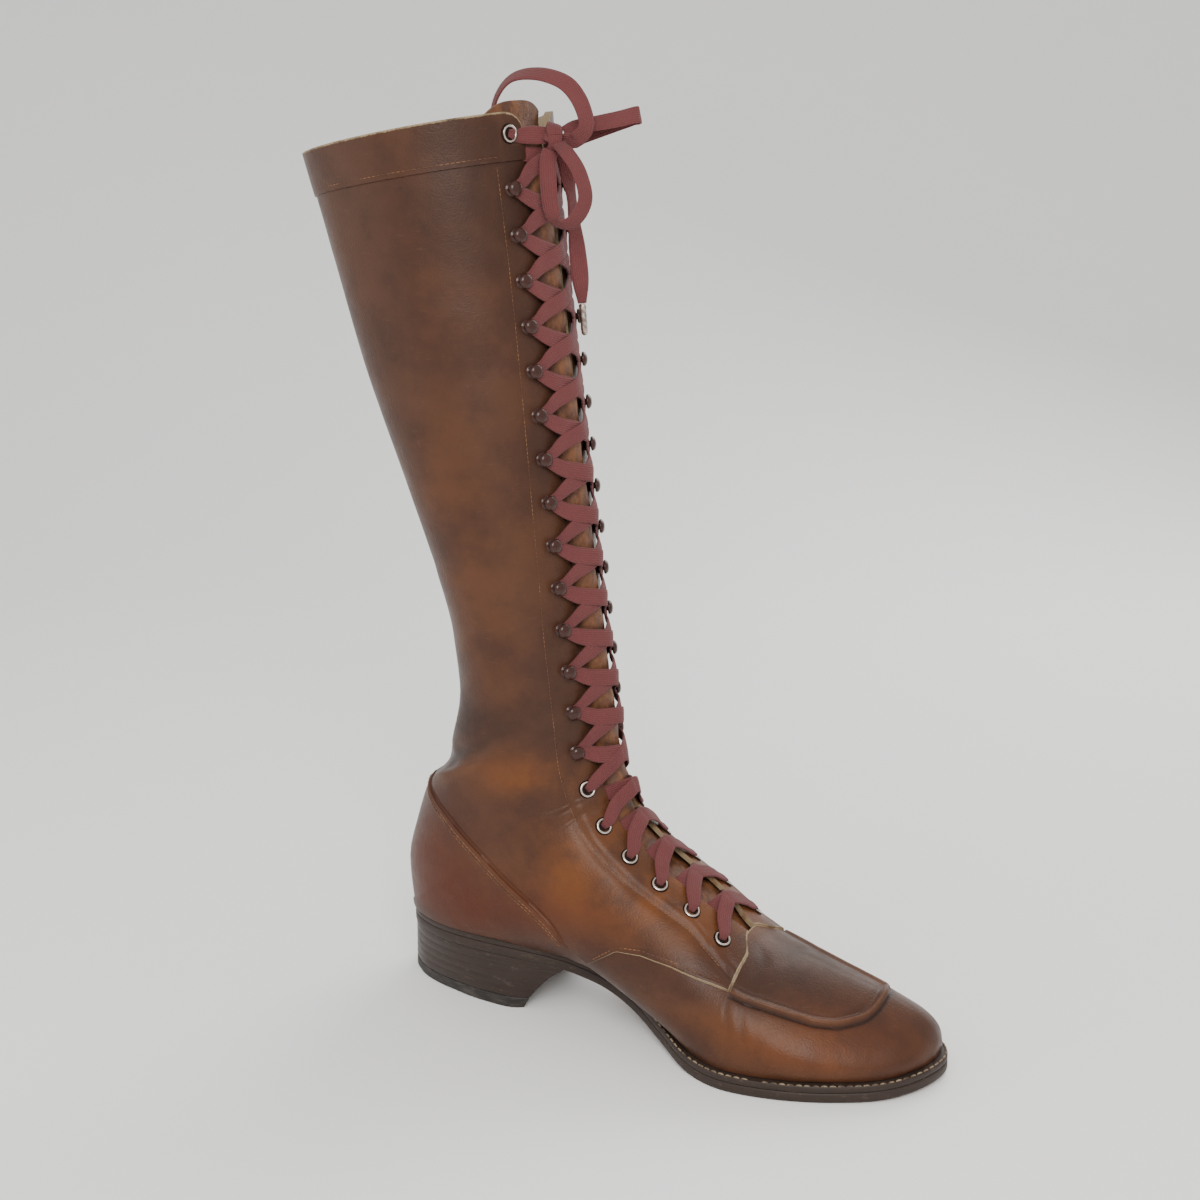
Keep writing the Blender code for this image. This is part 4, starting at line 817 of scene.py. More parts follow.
def read(name, key):
    """One column of the section table at a key."""
    column = SECTION_COLUMNS.index(name)
    rows = [(k, r[column]) for k, r in zip(KEYS, SECTIONS) if r[column] is not None]
    return float(smooth(rows, key))


KEYS = [0.0]
for one, two in zip(SECTIONS, SECTIONS[1:]):
    KEYS.append(KEYS[-1] + math.hypot(two[0] - one[0], two[1] - one[1])
                + 0.5 * abs(two[2] - one[2]))
SECTION_STORE = {}


def stored_section(key, side):
    """A section, worked out once."""
    name = (round(key, 4), side)
    if name not in SECTION_STORE:
        SECTION_STORE[name] = section(key, side)
    return SECTION_STORE[name]


def on_leather(key, arc):
    """The lining's point at a key and an arc from the ridge; the sign is the side."""
    points, run = stored_section(key, -1 if arc < 0 else 1)[:2]
    return np.array([np.interp(abs(arc), run, points[:, k]) for k in range(3)])


def facing_out(key, arc):
    """The outward normal of the surface."""
    ahead = on_leather(key + 1.5, arc) - on_leather(key - 1.5, arc)
    out = np.cross(on_leather(key, arc + 1.0) - on_leather(key, arc - 1.0), ahead)
    return out / np.linalg.norm(out)


def seam_place(key, side):
    """Arc of the long seam on a section and its x: plug seam, quarter edge, counter."""
    points, run, down, front, along = stored_section(key, side)
    across = np.array([-along[1], along[0]])
    best = None
    for a, b in zip(SEAM_LINE, SEAM_LINE[1:]):
        raised = [smooth(INNER_SEAM_RISE, p[0]) if side > 0 and 180 < p[0] < 242 else 0.0
                  for p in (a, b)]
        pa = np.array((a[0], a[1] + raised[0])) - front
        pb = np.array((b[0], b[1] + raised[1])) - front
        da, db = float(pa @ across), float(pb @ across)
        if da * db <= 0.0 and da != db:
            u = da / (da - db)
            reach = float((pa + (pb - pa) * u) @ along)
            if 0.0 < reach and (best is None or reach < best[0]):
                best = (reach, a[0] + (b[0] - a[0]) * u)
    margin = EDGE_MARGIN if key < KEYS[BACK] else BACK_MARGIN
    arc = float(np.interp(best[0], down, run))
    return min(arc, run[-1] - min(margin, 0.4 * run[-1])), best[1]


def counter_top():
    """The key at which the counter cover's edge has come round to the back."""
    for key in np.arange(KEYS[BACK], KEYS[CUFF], 0.5):
        if seam_place(key, -1)[0] > stored_section(key, -1)[1][-1] - BACK_MARGIN - 0.01:
            return float(key)


def smoothed(values, times):
    """A run of numbers with its kinks rounded off."""
    values = np.array(values, float)
    for _ in range(times):
        values[1:-1] = (values[:-2] + 2 * values[1:-1] + values[2:]) / 4
    return values


COUNTER_TOP = counter_top()

# The plug's seam from the throat round the toe and back, as points of the surface
PLUG_SEAM = []
for side in (-1, 1):
    part = []
    for key in np.linspace(KEYS[THROAT] - 1.0, 43.5, 60):
        arc, seam_x = seam_place(key, side)
        part.append((key, side * arc))
    part = [p for p in part if seam_place(p[0], side)[1] > 178.0]
    PLUG_SEAM += part if side < 0 else part[::-1]
PLUG_SEAM = [p for p in PLUG_SEAM if p[0] > 46.5]
toe = [k for k, p in enumerate(PLUG_SEAM) if p[1] > 0][0]
PLUG_SEAM[toe:toe] = [(44.4, -11.0), (43.2, -6.0), (42.9, -1.5), (43.4, 3.0),
                                (45.0, 9.0)]
PLUG_SEAM = np.array(PLUG_SEAM)
PLUG_SEAM[:, 1] = smoothed(PLUG_SEAM[:, 1], 3)
PLUG_SEAM[:, 0] = smoothed(PLUG_SEAM[:, 0], 3)
PLUG_PATH = respaced([on_leather(k, a) for k, a in PLUG_SEAM], 0.8)


def plug_distance(points):
    """How far each point is from the plug's seam: negative on the plug."""
    away = points[:, None, :] - PLUG_PATH[None, :, :]
    near = np.argmin((away ** 2).sum(2), axis=1)
    far = np.sqrt((away[np.arange(len(points)), near] ** 2).sum(1))
    ahead = PLUG_PATH[np.minimum(near + 1, len(PLUG_PATH) - 1)]
    ahead = ahead - PLUG_PATH[np.maximum(near - 1, 0)]
    spine = np.array((175.0, 3.0, 60.0))
    side = np.cross(ahead, PLUG_PATH[near] - spine)
    turn = np.einsum("ij,ij->i", np.cross(ahead, points - PLUG_PATH[near]), side)
    return np.where(turn < 0.0, -far, far)


# Creases and hollows: key, arc, half length, half width, lean in degrees and height
CREASES = (
    (371.0, -96.0, 22.0, 5.0, 0.0, -2.6), (371.0, 96.0, 22.0, 5.0, 0.0, -2.6),
    (360.0, -88.0, 26.0, 5.0, 4.0, 1.7), (360.0, 90.0, 26.0, 5.0, -4.0, 1.6),
    (374.0, -62.0, 24.0, 6.0, 8.0, -1.3), (374.0, 60.0, 24.0, 6.0, -8.0, -1.2),
    (348.0, -62.0, 20.0, 3.4, -14.0, -1.0), (349.0, 60.0, 20.0, 3.4, 14.0, -1.0),
    (340.0, -50.0, 17.0, 3.6, -20.0, 0.8), (341.0, 50.0, 17.0, 3.6, 20.0, 0.7),
    (321.0, -35.0, 14.0, 2.4, -28.0, -0.9), (322.0, 34.0, 14.0, 2.4, 28.0, -0.9),
    (311.0, -30.0, 13.0, 2.6, -30.0, 0.6), (300.0, -28.0, 13.0, 2.2, -24.0, -0.7),
    (311.0, 30.0, 13.0, 2.6, 30.0, 0.6), (300.0, 28.0, 13.0, 2.2, 24.0, -0.7),
    (334.0, -28.0, 12.0, 2.0, -12.0, -0.6), (334.0, 28.0, 12.0, 2.0, 12.0, -0.6),
    (385.0, -40.0, 18.0, 3.0, 10.0, -0.5), (392.0, -60.0, 22.0, 3.4, 5.0, -0.6),
    (385.0, 42.0, 18.0, 3.0, -10.0, -0.5), (404.0, 58.0, 24.0, 3.4, -4.0, -0.6),
    (416.0, -56.0, 24.0, 4.0, -3.0, -0.5), (428.0, -48.0, 20.0, 3.2, 4.0, -0.35),
    (446.0, -66.0, 26.0, 5.0, 6.0, -0.4), (447.0, 62.0, 26.0, 5.0, -6.0, -0.4),
    (540.0, -70.0, 30.0, 9.0, 20.0, -0.7), (575.0, -52.0, 26.0, 7.0, -15.0, 0.4),
    (600.0, 66.0, 30.0, 9.0, 12.0, -0.6), (500.0, 70.0, 30.0, 9.0, -12.0, 0.5),
    (148.0, -24.0, 12.0, 1.6, 58.0, -0.6), (156.0, -24.0, 11.0, 1.4, 62.0, -0.5),
    (165.0, -22.0, 9.0, 1.4, 66.0, -0.4), (150.0, 24.0, 12.0, 1.6, -58.0, -0.5),
    (120.0, -14.0, 12.0, 4.0, 10.0, -0.5), (104.0, 2.0, 14.0, 5.0, -6.0, -0.6),
    (118.0, -46.0, 11.0, 2.4, 24.0, -0.5), (128.0, -48.0, 10.0, 2.2, 30.0, -0.4),
    (116.0, 44.0, 11.0, 2.4, -24.0, -0.5), (126.0, 46.0, 10.0, 2.2, -30.0, -0.4),
    (250.0, -44.0, 26.0, 8.0, -60.0, -0.8), (250.0, 44.0, 26.0, 8.0, 60.0, -0.8),
)
# Tones of the leather in the side view: x, z, half length, half height and strength
AMBER = ((138.0, 72.0, 34.0, 16.0, 1.0), (104.0, 92.0, 22.0, 16.0, 0.7),
         (78.0, 122.0, 24.0, 11.0, 0.75), (196.0, 24.0, 38.0, 10.0, 0.7),
         (236.0, 20.0, 20.0, 9.0, 0.5), (40.0, 64.0, 26.0, 20.0, 0.22),
         (88.0, 66.0, 24.0, 12.0, 0.45), (60.0, 225.0, 30.0, 34.0, 0.16),
         (40.0, 262.0, 22.0, 26.0, 0.18), (70.0, 175.0, 18.0, 24.0, 0.22),
         (8.0, 330.0, 24.0, 30.0, 0.12), (170.0, 54.0, 12.0, 8.0, 0.5))
RED = ((24.0, 66.0, 30.0, 32.0, 1.0), (56.0, 52.0, 34.0, 16.0, 0.6),
       (100.0, 60.0, 30.0, 14.0, 0.4), (222.0, 22.0, 34.0, 10.0, 0.35))
DARK = ((44.0, 140.0, 24.0, 14.0, 0.85), (8.0, 96.0, 12.0, 20.0, 0.5),
        (12.0, 40.0, 20.0, 5.0, 0.7), (216.0, 46.0, 30.0, 8.0, 0.75),
        (256.0, 22.0, 10.0, 10.0, 0.4), (150.0, 22.0, 44.0, 7.0, 0.6),
        (92.0, 40.0, 30.0, 6.0, 0.5), (70.0, 380.0, 60.0, 26.0, 0.55),
        (20.0, 320.0, 26.0, 60.0, 0.35), (30.0, 200.0, 12.0, 50.0, 0.6),
        (96.0, 250.0, 16.0, 110.0, 0.25), (64.0, 152.0, 30.0, 10.0, 0.35))


def patches(points, table):
    """The strength of a table of soft patches at points."""
    total = np.zeros(len(points))
    for x, z, wide, tall, strength in table:
        total += strength * np.exp(-((points[:, 0] - x) / wide) ** 2
                                   - ((points[:, 2] - z) / tall) ** 2)
    return np.clip(total, 0.0, 1.0)


def throat_bow(key, arc):
    """How far a row near the throat is moved up towards the slit: the flap's round end."""
    near = 1.0 - ease(abs(arc), 3.0, 17.0)
    return 9.0 * near * (1.0 - ease(abs(key - KEYS[THROAT]), 2.0, 42.0))


def collar_drop(key, arc):
    """The key lowered near the slit above the cuff seam, so the flap's corner is round."""
    inside = FLAP_CORNER - (abs(arc) - float(smooth(SLIT, key)))
    if key <= KEYS[CUFF] or inside <= 0.0:
        return key
    drop = FLAP_CORNER - math.sqrt(max(FLAP_CORNER ** 2 - min(inside, FLAP_CORNER) ** 2, 0.0))
    return KEYS[CUFF] + (key - KEYS[CUFF]) * (1.0 - 0.9 * drop / CUFF_DEPTH)


def upper_rows(spacing):
    """The keys of the rows, close together where a piece ends on another."""
    stops = [0.0, *PLUG_TOE_KEYS, KEYS[THROAT] - STEP_WIDTH, KEYS[THROAT],
             COUNTER_TOP - STEP_WIDTH, COUNTER_TOP, KEYS[CUFF] - STEP_WIDTH, KEYS[CUFF],
             KEYS[COLLAR]]
    keys = []
    for n, (low, high) in enumerate(zip(stops, stops[1:])):
        step = PLUG_TOE_ROWS if n == 1 else spacing
        count = max(1, int(round((high - low) / step)))
        keys += list(np.linspace(low, high, count + 1)[:-1])
    return keys + [KEYS[COLLAR]]


def upper_columns(key, side, top_count, low_count, fine):
    """Arcs of the columns of a row, the seam's column and its x."""
    run = stored_section(key, side)[1]
    seam, seam_x = seam_place(key, side)
    slit = min(float(smooth(SLIT, key)), 0.2 * run[-1])
    offsets = np.array((-3.4, -2.6, -2.0, -1.5, -1.0, -0.5, 0.0, STEP_WIDTH, 0.7, 1.1, 1.6,
                        2.1, 2.7, 3.4) if fine else (-1.0, 0.0, 1.0))
    offsets = offsets * min(1.0, 0.09 * run[-1] / 3.4)
    seam = min(max(seam, slit + 3.0 - offsets[0]), run[-1] - offsets[-1] - 0.8)
    arcs = list(np.linspace(0.0, slit, 4))
    arcs += list(np.linspace(slit, seam + offsets[0], top_count + 1)[1:-1])
    seam_column = len(arcs) + int(np.argmin(np.abs(offsets)))
    arcs += list(seam + offsets)
    arcs += list(np.linspace(seam + offsets[-1], run[-1], low_count + 1)[1:])
    return arcs, seam_column, seam_x


def shell_grid(spacing, top_count, low_count, fine):
    """The grid of the upper: points on the lining's surface and what each one is."""
    keys = upper_rows(spacing)
    seams = {}
    for side in (-1, 1):
        rows = [upper_columns(key, side, top_count, low_count, fine) for key in keys]
        arcs = np.array([row[0] for row in rows])
        seams[side] = (arcs, rows[0][1], [row[2] for row in rows])
    table = []
    for side in (-1, 1):
        arcs, seam_column, seam_x = seams[side]
        for i, key in enumerate(keys):
            for j, arc in enumerate(arcs[i]):
                at = key + throat_bow(key, arc)
                at = collar_drop(at, arc) if key > KEYS[CUFF] else at
                table.append((i, side, j, key, arc, seam_x[i], arc - arcs[i][seam_column],
                              at, 1.0 if j <= seam_column else 0.0))
    columns = len(seams[-1][0][0])
    spots = np.array([on_leather(row[7], row[1] * max(row[4], 1e-6)) for row in table])
    return keys, columns, np.array(table), spots


def grid_faces(keys, columns):
    """Faces of the grid, open along the slit and under the foot, closed at the ridge."""
    throat = keys.index(KEYS[THROAT])
    half = len(keys) * columns
    back = [i for i, key in enumerate(keys) if key >= KEYS[BACK] - 1e-6][0]

    def spot(i, side, j):
        if side > 0 and (j == 0 or (j == columns - 1 and i >= back)):
            side = -1
        return (0 if side < 0 else half) + i * columns + j

    faces = []
    for side in (-1, 1):
        for i in range(len(keys) - 1):
            for j in range(columns - 1):
                if i >= throat - 1 and j < 3:
                    continue
                face = [spot(i, side, j), spot(i, side, j + 1), spot(i + 1, side, j + 1),
                        spot(i + 1, side, j)]
                faces.append(face if side > 0 else face[::-1])
    nose = [spot(0, -1, j) for j in range(columns)]
    other = [spot(0, 1, j) for j in range(columns)]
    faces += [[a, b, d, c] for a, b, c, d in zip(nose, nose[1:], other, other[1:])]
    return [f for f in (list(dict.fromkeys(f)) for f in faces) if len(f) > 2]


def point_normals(points, faces):
    """Normals at the points of a mesh."""
    normals = np.zeros_like(points)
    for face in faces:
        a, b, c = (points[face[k]] for k in (0, 1, 2))
        area = np.cross(b - a, c - a)
        if len(face) == 4:
            area = area + np.cross(c - a, points[face[3]] - a)
        for k in face:
            normals[k] += area
    return normals / np.maximum(np.linalg.norm(normals, axis=1), 1e-9)[:, None]


def creased(table):
    """How far the creases and hollows move the leather at each point of the grid."""
    around, key, moved = table[:, 1] * table[:, 4], table[:, 3], np.zeros(len(table))
    for at, turn, long, wide, lean, height in CREASES:
        u, v, lean = around - turn, key - at, math.radians(lean)
        along = u * math.cos(lean) + v * math.sin(lean)
        across = v * math.cos(lean) - u * math.sin(lean) + 0.9 * np.sin(along * 0.35 + at)
        moved += height * np.exp(-(along / long) ** 2 - (across / wide) ** 2)
    return moved


def relief(table, spots):
    """How far the leather stands out at each point of the grid, and how raw its edge is."""
    key, arc, seam_x, off, above = table[:, 3], table[:, 4], table[:, 5], table[:, 6], table[:, 8]
    quarter = ease(seam_x, 104.0, 112.0) * (1.0 - ease(seam_x, 181.0, 184.0))
    counter = (1.0 - ease(seam_x, 96.0, 104.0)) * ease(seam_x, 17.0, 22.0)
    counter = counter * (1.0 - ease(key, COUNTER_TOP - STEP_WIDTH, COUNTER_TOP))
    shaft = ease(key, KEYS[THROAT] - STEP_WIDTH, KEYS[THROAT])
    high = np.full(len(table), QUARTER_LIFT)
    low = QUARTER_LIFT * (1.0 - quarter) + COUNTER_LIFT * counter
    lift = np.where(above > 0.5, high, low) * shaft
    lift += CUFF_LIFT * ease(key, KEYS[CUFF] - STEP_WIDTH, KEYS[CUFF])
    # the counter's sewn edge stands up in a low ridge, with a groove in front of it
    sewn = counter * shaft
    lift += sewn * (0.35 * np.exp(-((off - 1.8) / 1.1) ** 2)
                    - 0.35 * np.exp(-((off + 0.9) / 0.7) ** 2))
    # the quarter's edge thins out and curls a little
    lift += quarter * shaft * 0.18 * np.exp(-((off + 1.0) / 0.9) ** 2) * (above > 0.5)
    # the facing is stitched down: a groove behind the hooks, deep and puckered below
    line = np.interp(key, [p[0] for p in FACING_LINE], [p[1] for p in FACING_LINE])
    instep = 1.0 - ease(key, 300.0, 360.0)
    lift += shaft * (-(0.18 + 0.55 * instep) * np.exp(-((arc - line) / (0.9 + instep)) ** 2)
                     + (0.10 + 0.55 * instep)
                     * np.exp(-((arc - line + 3.2 + instep) / (1.6 + instep)) ** 2))
    bead = plug_distance(spots)
    vamp = 1.0 - ease(key, KEYS[THROAT] - 2.0, KEYS[THROAT] - 0.3)
    lift += vamp * (BEAD_LIFT * np.exp(-(np.abs(bead + 0.4) / 1.35) ** 2.6)
                    - 0.4 * np.exp(-((bead - 2.1) / 0.6) ** 2)
                    - 0.3 * np.exp(-((bead + 3.0) / 0.9) ** 2))
    lift += creased(table)
    raw = np.where((np.abs(off - STEP_WIDTH / 2) < 0.35), quarter * shaft, 0.0)
    at_throat = np.abs(key - KEYS[THROAT] + STEP_WIDTH / 2) < STEP_WIDTH
    raw = np.maximum(raw, np.where(table[:, 0] == table[:, 0].max(), 0.95, 0.0))
    raw = np.maximum(raw, np.where(at_throat & (above > 0.5), 1.0, 0.0))
    return lift, raw, bead


def lining_depth(key):
    """How far the lining's face lies below its own nominal surface."""
    low = KEYS[THROAT]
    return LINING_VAMP + (LINING_SHAFT - LINING_VAMP) * ease(key, low - 10.0, low + 40.0)


keys, columns, table, spots = shell_grid(2.2, 34, 20, True)
faces = grid_faces(keys, columns)
normals = point_normals(spots, faces)
level = (table[:, 2] == columns - 1) & (table[:, 3] < KEYS[BACK])
normals[level, 2] = 0.0
normals[level] /= np.linalg.norm(normals[level], axis=1)[:, None]
lift, raw, bead = relief(table, spots)
outer = spots + normals * lift[:, None]
amber, red, dark = (patches(spots, t) for t in (AMBER, RED, DARK))
# the leather beside the slit is darker near the collar, where the bow hangs in front of it
darker_by_slit = 0.35 * np.exp(-((table[:, 4] - 6.0) / 9.0) ** 2) * (table[:, 3] > 560.0)
dark = np.clip(dark + darker_by_slit, 0.0, 1.0)
rubbed = np.clip(np.exp(-(np.abs(bead + 0.4) / 0.9) ** 2) * 0.8 * (table[:, 3] < KEYS[THROAT])
                 + np.clip(lift - 1.55, 0.0, 0.4) * 0.9, 0.0, 1.0)
# painted shade: the leather is darkened in the groove beside the plug's bead and wherever the
# relief sinks, in grooves and crease hollows
shade = np.clip(np.exp(-((bead - 2.1) / 0.9) ** 2) * (table[:, 3] < KEYS[THROAT])
                + np.clip(-lift, 0.0, 1.5) * 0.5, 0.0, 1.0)

# The raw edges all round: the wall turns in at the collar, the slit and the feather edge
edge_use = {}
for face in faces:
    for a, b in zip(face, face[1:] + face[:1]):
        edge_use[a, b] = edge_use.get((a, b), 0) + 1
rim_edges = [(a, b) for a, b in edge_use if (b, a) not in edge_use]
rim_points = sorted({k for edge in rim_edges for k in edge})
depths = lining_depth(table[:, 3])
points = [*outer]
stored = {"amber": [*amber], "red": [*red], "dark": [*dark], "raw": [*raw],
          "rubbed": [*rubbed], "shade": [*shade]}
rim = {}
for k in rim_points:
    inward = -normals[k]
    rim[k] = []
    wall = lift[k] + depths[k]
    for share in (0.0, 0.3, 0.7, 1.0):
        rim[k].append(len(points))
        points.append(outer[k] + inward * wall * share)
        for key, values in stored.items():
            values.append(1.0 if key == "raw" else values[k])
skin = list(faces)
for a, b in rim_edges:
    for n in range(3):
        skin.append([rim[b][n], rim[a][n], rim[a][n + 1], rim[b][n + 1]])

hide = Finish("upper_leather", specular_ior_level=0.17, coat_weight=0.04, coat_roughness=0.25)
cloud = hide.clouds(38.0, 5.0, 0.6)
mottle = hide.clouds(9.0, 5.0, 0.65)
speck = hide.clouds(1.6, 5.0, 0.7)
pore = hide.cells(0.85)
wear = hide.clouds(5.0, 6.0, 0.75, (1.0, 1.0, 0.45))
scratch = hide.clouds(0.9, 3.0, 0.5, (0.12, 0.12, 1.0)).clear_of(0.66, 0.72)
tone = hide.blend((0.046, 0.0195, 0.0120), (0.072, 0.0300, 0.0160), cloud.clear_of(0.35, 0.65))
tone = hide.blend(tone, (0.165, 0.053, 0.0125),
                  hide.drawn("amber") * (mottle * 0.7 + 0.55) * cloud.clear_of(0.2, 0.62))
tone = hide.blend(tone, (0.066, 0.0120, 0.0042), hide.drawn("red") * (mottle * 0.6 + 0.5))
tone = hide.blend(tone, (0.024, 0.0115, 0.0085), hide.drawn("dark") * (mottle * 0.9 + 0.25))
tone = hide.blend(tone, (0.022, 0.011, 0.0080), mottle.clear_of(0.55, 0.85) * 0.35)
# painted shade in the grooves and crease hollows
tone = hide.blend(tone, (0.011, 0.006, 0.005), hide.drawn("shade") * 0.75)
tone = hide.blend(tone, (0.165, 0.072, 0.034), hide.drawn("rubbed") * (wear * 0.9 + 0.1) * 0.7)
tone = hide.blend(tone, (0.170, 0.095, 0.055), wear.clear_of(0.66, 0.78) * 0.35)
tone = hide.blend(tone, (0.16, 0.08, 0.045), scratch * 0.10)
tone = hide.blend(tone, (0.014, 0.008, 0.007), speck.clear_of(0.68, 0.8) * 0.3)
frayed = (hide.drawn("raw") + (speck - 0.5) * 0.9).clear_of(0.46, 0.72)
tone = hide.blend(tone, (0.30, 0.225, 0.135), frayed * (0.9 - mottle.clear_of(0.46, 0.66) * 0.6))
gloss = mottle * 0.28 + hide.drawn("dark") * 0.08 + frayed * 0.4 + wear * 0.1 + 0.20
grain = (1.0 - pore) * 0.35 + mottle * 0.5 + speck * 0.4 - scratch * 0.1 + frayed * speck
hide_finish = hide.cover(tone, gloss, grain, 0.22)

upper = add_mesh("upper_leather", points, skin, [hide_finish], stored, sharp=48.0)
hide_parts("upper")

keys_in, columns_in, table_in, spots_in = shell_grid(5.0, 12, 8, False)
faces_in = grid_faces(keys_in, columns_in)
normals_in = point_normals(spots_in, faces_in)
inner = spots_in + normals_in * (np.minimum(creased(table_in) * 1.6, 0.0)
                                - lining_depth(table_in[:, 3]) - 0.05)[:, None]
lining = Finish("lining_leather", specular_ior_level=0.3)
stain = lining.clouds(24.0, 5.0, 0.6)
nap = lining.clouds(0.7, 4.0)
lining_finish = lining.cover(
    lining.blend((0.36, 0.28, 0.18), (0.15, 0.10, 0.06), stain.clear_of(0.4, 0.72)),
    stain * 0.2 + 0.62, nap + stain, 0.2)
lined = add_mesh("upper_lining", inner, [f[::-1] for f in faces_in], [lining_finish])

# Seams of thin tan thread: facing, quarter edge, counter and cuff
outer_tree = BVHTree.FromObject(upper, bpy.context.evaluated_depsgraph_get())


def on_skin(key, arc):
    """A point on the leather's face and its outward direction."""
    out = facing_out(key, arc)
    start = on_leather(key, arc) + out * 7.0
    hit, normal, _, _ = outer_tree.ray_cast(metres(start), Vector(-out), 0.016)
    if hit is None:
        return on_leather(key, arc) + out * QUARTER_LIFT, out
    return np.array(hit) / MM + np.array((ORIGIN_X, 0.0, 0.0)), np.array(normal)


def sewn_row(route, pitch, length, radius):
    """Stitches along a route of keys and arcs on the leather."""
    places = [on_skin(k, a) for k, a in route]
    return stitches(np.array([p[0] for p in places]), np.array([p[1] for p in places]),
                    pitch, length, radius, -0.15)


rows_sewn = []
for side in (-1, 1):
    ks = np.linspace(KEYS[THROAT] + 12.0, KEYS[CUFF] - 1.0, 180)
    line = [side * np.interp(k, [p[0] for p in FACING_LINE], [p[1] for p in FACING_LINE])
            for k in ks]
    rows_sewn.append(sewn_row(list(zip(ks, line)), 1.9, 1.45, 0.15))
    quarter_row, counter_row, counter_second = [], [], []
    for k in np.linspace(KEYS[THROAT] + 3.0, KEYS[BACK] + 60.0, 150):
        arc, seam_x = seam_place(k, side)
        if 114.0 < seam_x < 178.0:
            quarter_row.append((k, side * (arc - 2.2)))
        if seam_x < 101.0 and k < COUNTER_TOP - 1.5:
            counter_row.append((k, side * (arc + 2.0)))
            counter_second.append((k, side * (arc + 3.8)))
    back_arc = stored_section(COUNTER_TOP, side)[1][-1]
    for row, below in ((counter_row, 1.6), (counter_second, 3.4)):
        row += [(COUNTER_TOP - below, side * a)
                for a in np.linspace(back_arc - 11.0, back_arc - 0.3, 8)]
    rows_sewn += [sewn_row(quarter_row, 2.2, 1.6, 0.2), sewn_row(counter_row, 2.2, 1.6, 0.18),
                  sewn_row(counter_second, 2.2, 1.6, 0.18)]
    cuff = [(KEYS[CUFF] + 2.4, side * a) for a in np.linspace(24.0, 116.0, 60)]
    rows_sewn.append(sewn_row(cuff, 2.3, 1.6, 0.17))
tan_thread = Finish("seam_thread", specular_ior_level=0.3)
worn = tan_thread.clouds(8.0, 4.0).clear_of(0.4, 0.6)
tan_finish = tan_thread.cover(
    tan_thread.blend((0.22, 0.105, 0.046), (0.10, 0.046, 0.023), worn), 0.65 + worn * 0.1,
    tan_thread.clouds(0.4), 0.1)
seams = add_mesh("upper_stitches", *join_parts(rows_sewn), [tan_finish])

# ---------------------------------------------------------------------------
# Tongue. One strip of softer leather inside the slit, sewn in under the vamp, with a
# rounded end that stands a little above the collar.
# ---------------------------------------------------------------------------
TONGUE_GAP = 1.2
TONGUE_THICKNESS = 2.0


def crossing_lift(key):
    """How far the lace's crossings stand off the slit: most at the ankle."""
    return 1.6 + 5.2 * float(ease(key, 180.0, 310.0)) * (1.0 - 0.66 * float(
        ease(key, 460.0, 600.0)))


start, end = KEYS[THROAT] - 14.0, KEYS[COLLAR] + 5.0
face_points, faces, tongue_columns = [], [], 26
levels = np.linspace(start, end, 210)
for key in levels:
    high = ease(key, KEYS[NARROWING], end)
    half = 21.0 + 4.0 * ease(key, start, start + 90.0) - 6.0 * high
    for j in range(tongue_columns + 1):
        across = 2.0 * j / tongue_columns - 1.0
        drop = 5.0 * ease(key, end - 12.0, end) * abs(across) ** 3
        arc = -7.0 * high + half * across
        depth = float(lining_depth(key)) + TONGUE_GAP
        wave = 0.35 * math.sin(key * 0.11 + across * 1.5) + 0.25 * math.sin(key * 0.31)
        out = facing_out(key - drop, arc)
        fills = ease(key, 200.0, 320.0) * (1.0 - ease(key, 630.0, 660.0))
        rise = (3.0 + 0.72 * crossing_lift(key)) * fills * (1.0 - ease(abs(arc), 3.2, 10.4))
        face_points.append(on_leather(key - drop, arc) - out * (depth + 0.35 - wave - rise))
for i in range(len(levels) - 1):
    for j in range(tongue_columns):
        a = i * (tongue_columns + 1) + j
        faces.append([a, a + tongue_columns + 1, a + tongue_columns + 2, a + 1])
face_points = np.array(face_points)
normals = point_normals(face_points, faces)
if np.mean(normals[:, 0]) < 0.0:
    faces = [f[::-1] for f in faces]
    normals = -normals
count = len(face_points)
points = np.vstack([face_points, face_points - normals * TONGUE_THICKNESS * 0.8])
edge_use = {(a, b) for f in faces for a, b in zip(f, f[1:] + f[:1])}
skin = faces + [[k + count for k in f[::-1]] for f in faces]
skin += [[b, a, a + count, b + count] for a, b in edge_use if (b, a) not in edge_use]

soft = Finish("tongue_leather", specular_ior_level=0.25)
fold = soft.clouds(6.0, 5.0, 0.65, (1.0, 1.0, 0.6))
crack = soft.clouds(1.2, 5.0, 0.7)
soft_tone = soft.blend((0.075, 0.030, 0.0165), (0.165, 0.066, 0.028), fold.clear_of(0.36, 0.64))
soft_tone = soft.blend(soft_tone, (0.18, 0.10, 0.06), crack.clear_of(0.6, 0.75) * 0.4)
soft_finish = soft.cover(soft_tone, fold * 0.25 + 0.4, fold + crack * 0.5, 0.5)
tongue = add_mesh("tongue_strip", points, skin, [soft_finish])
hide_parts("tongue")

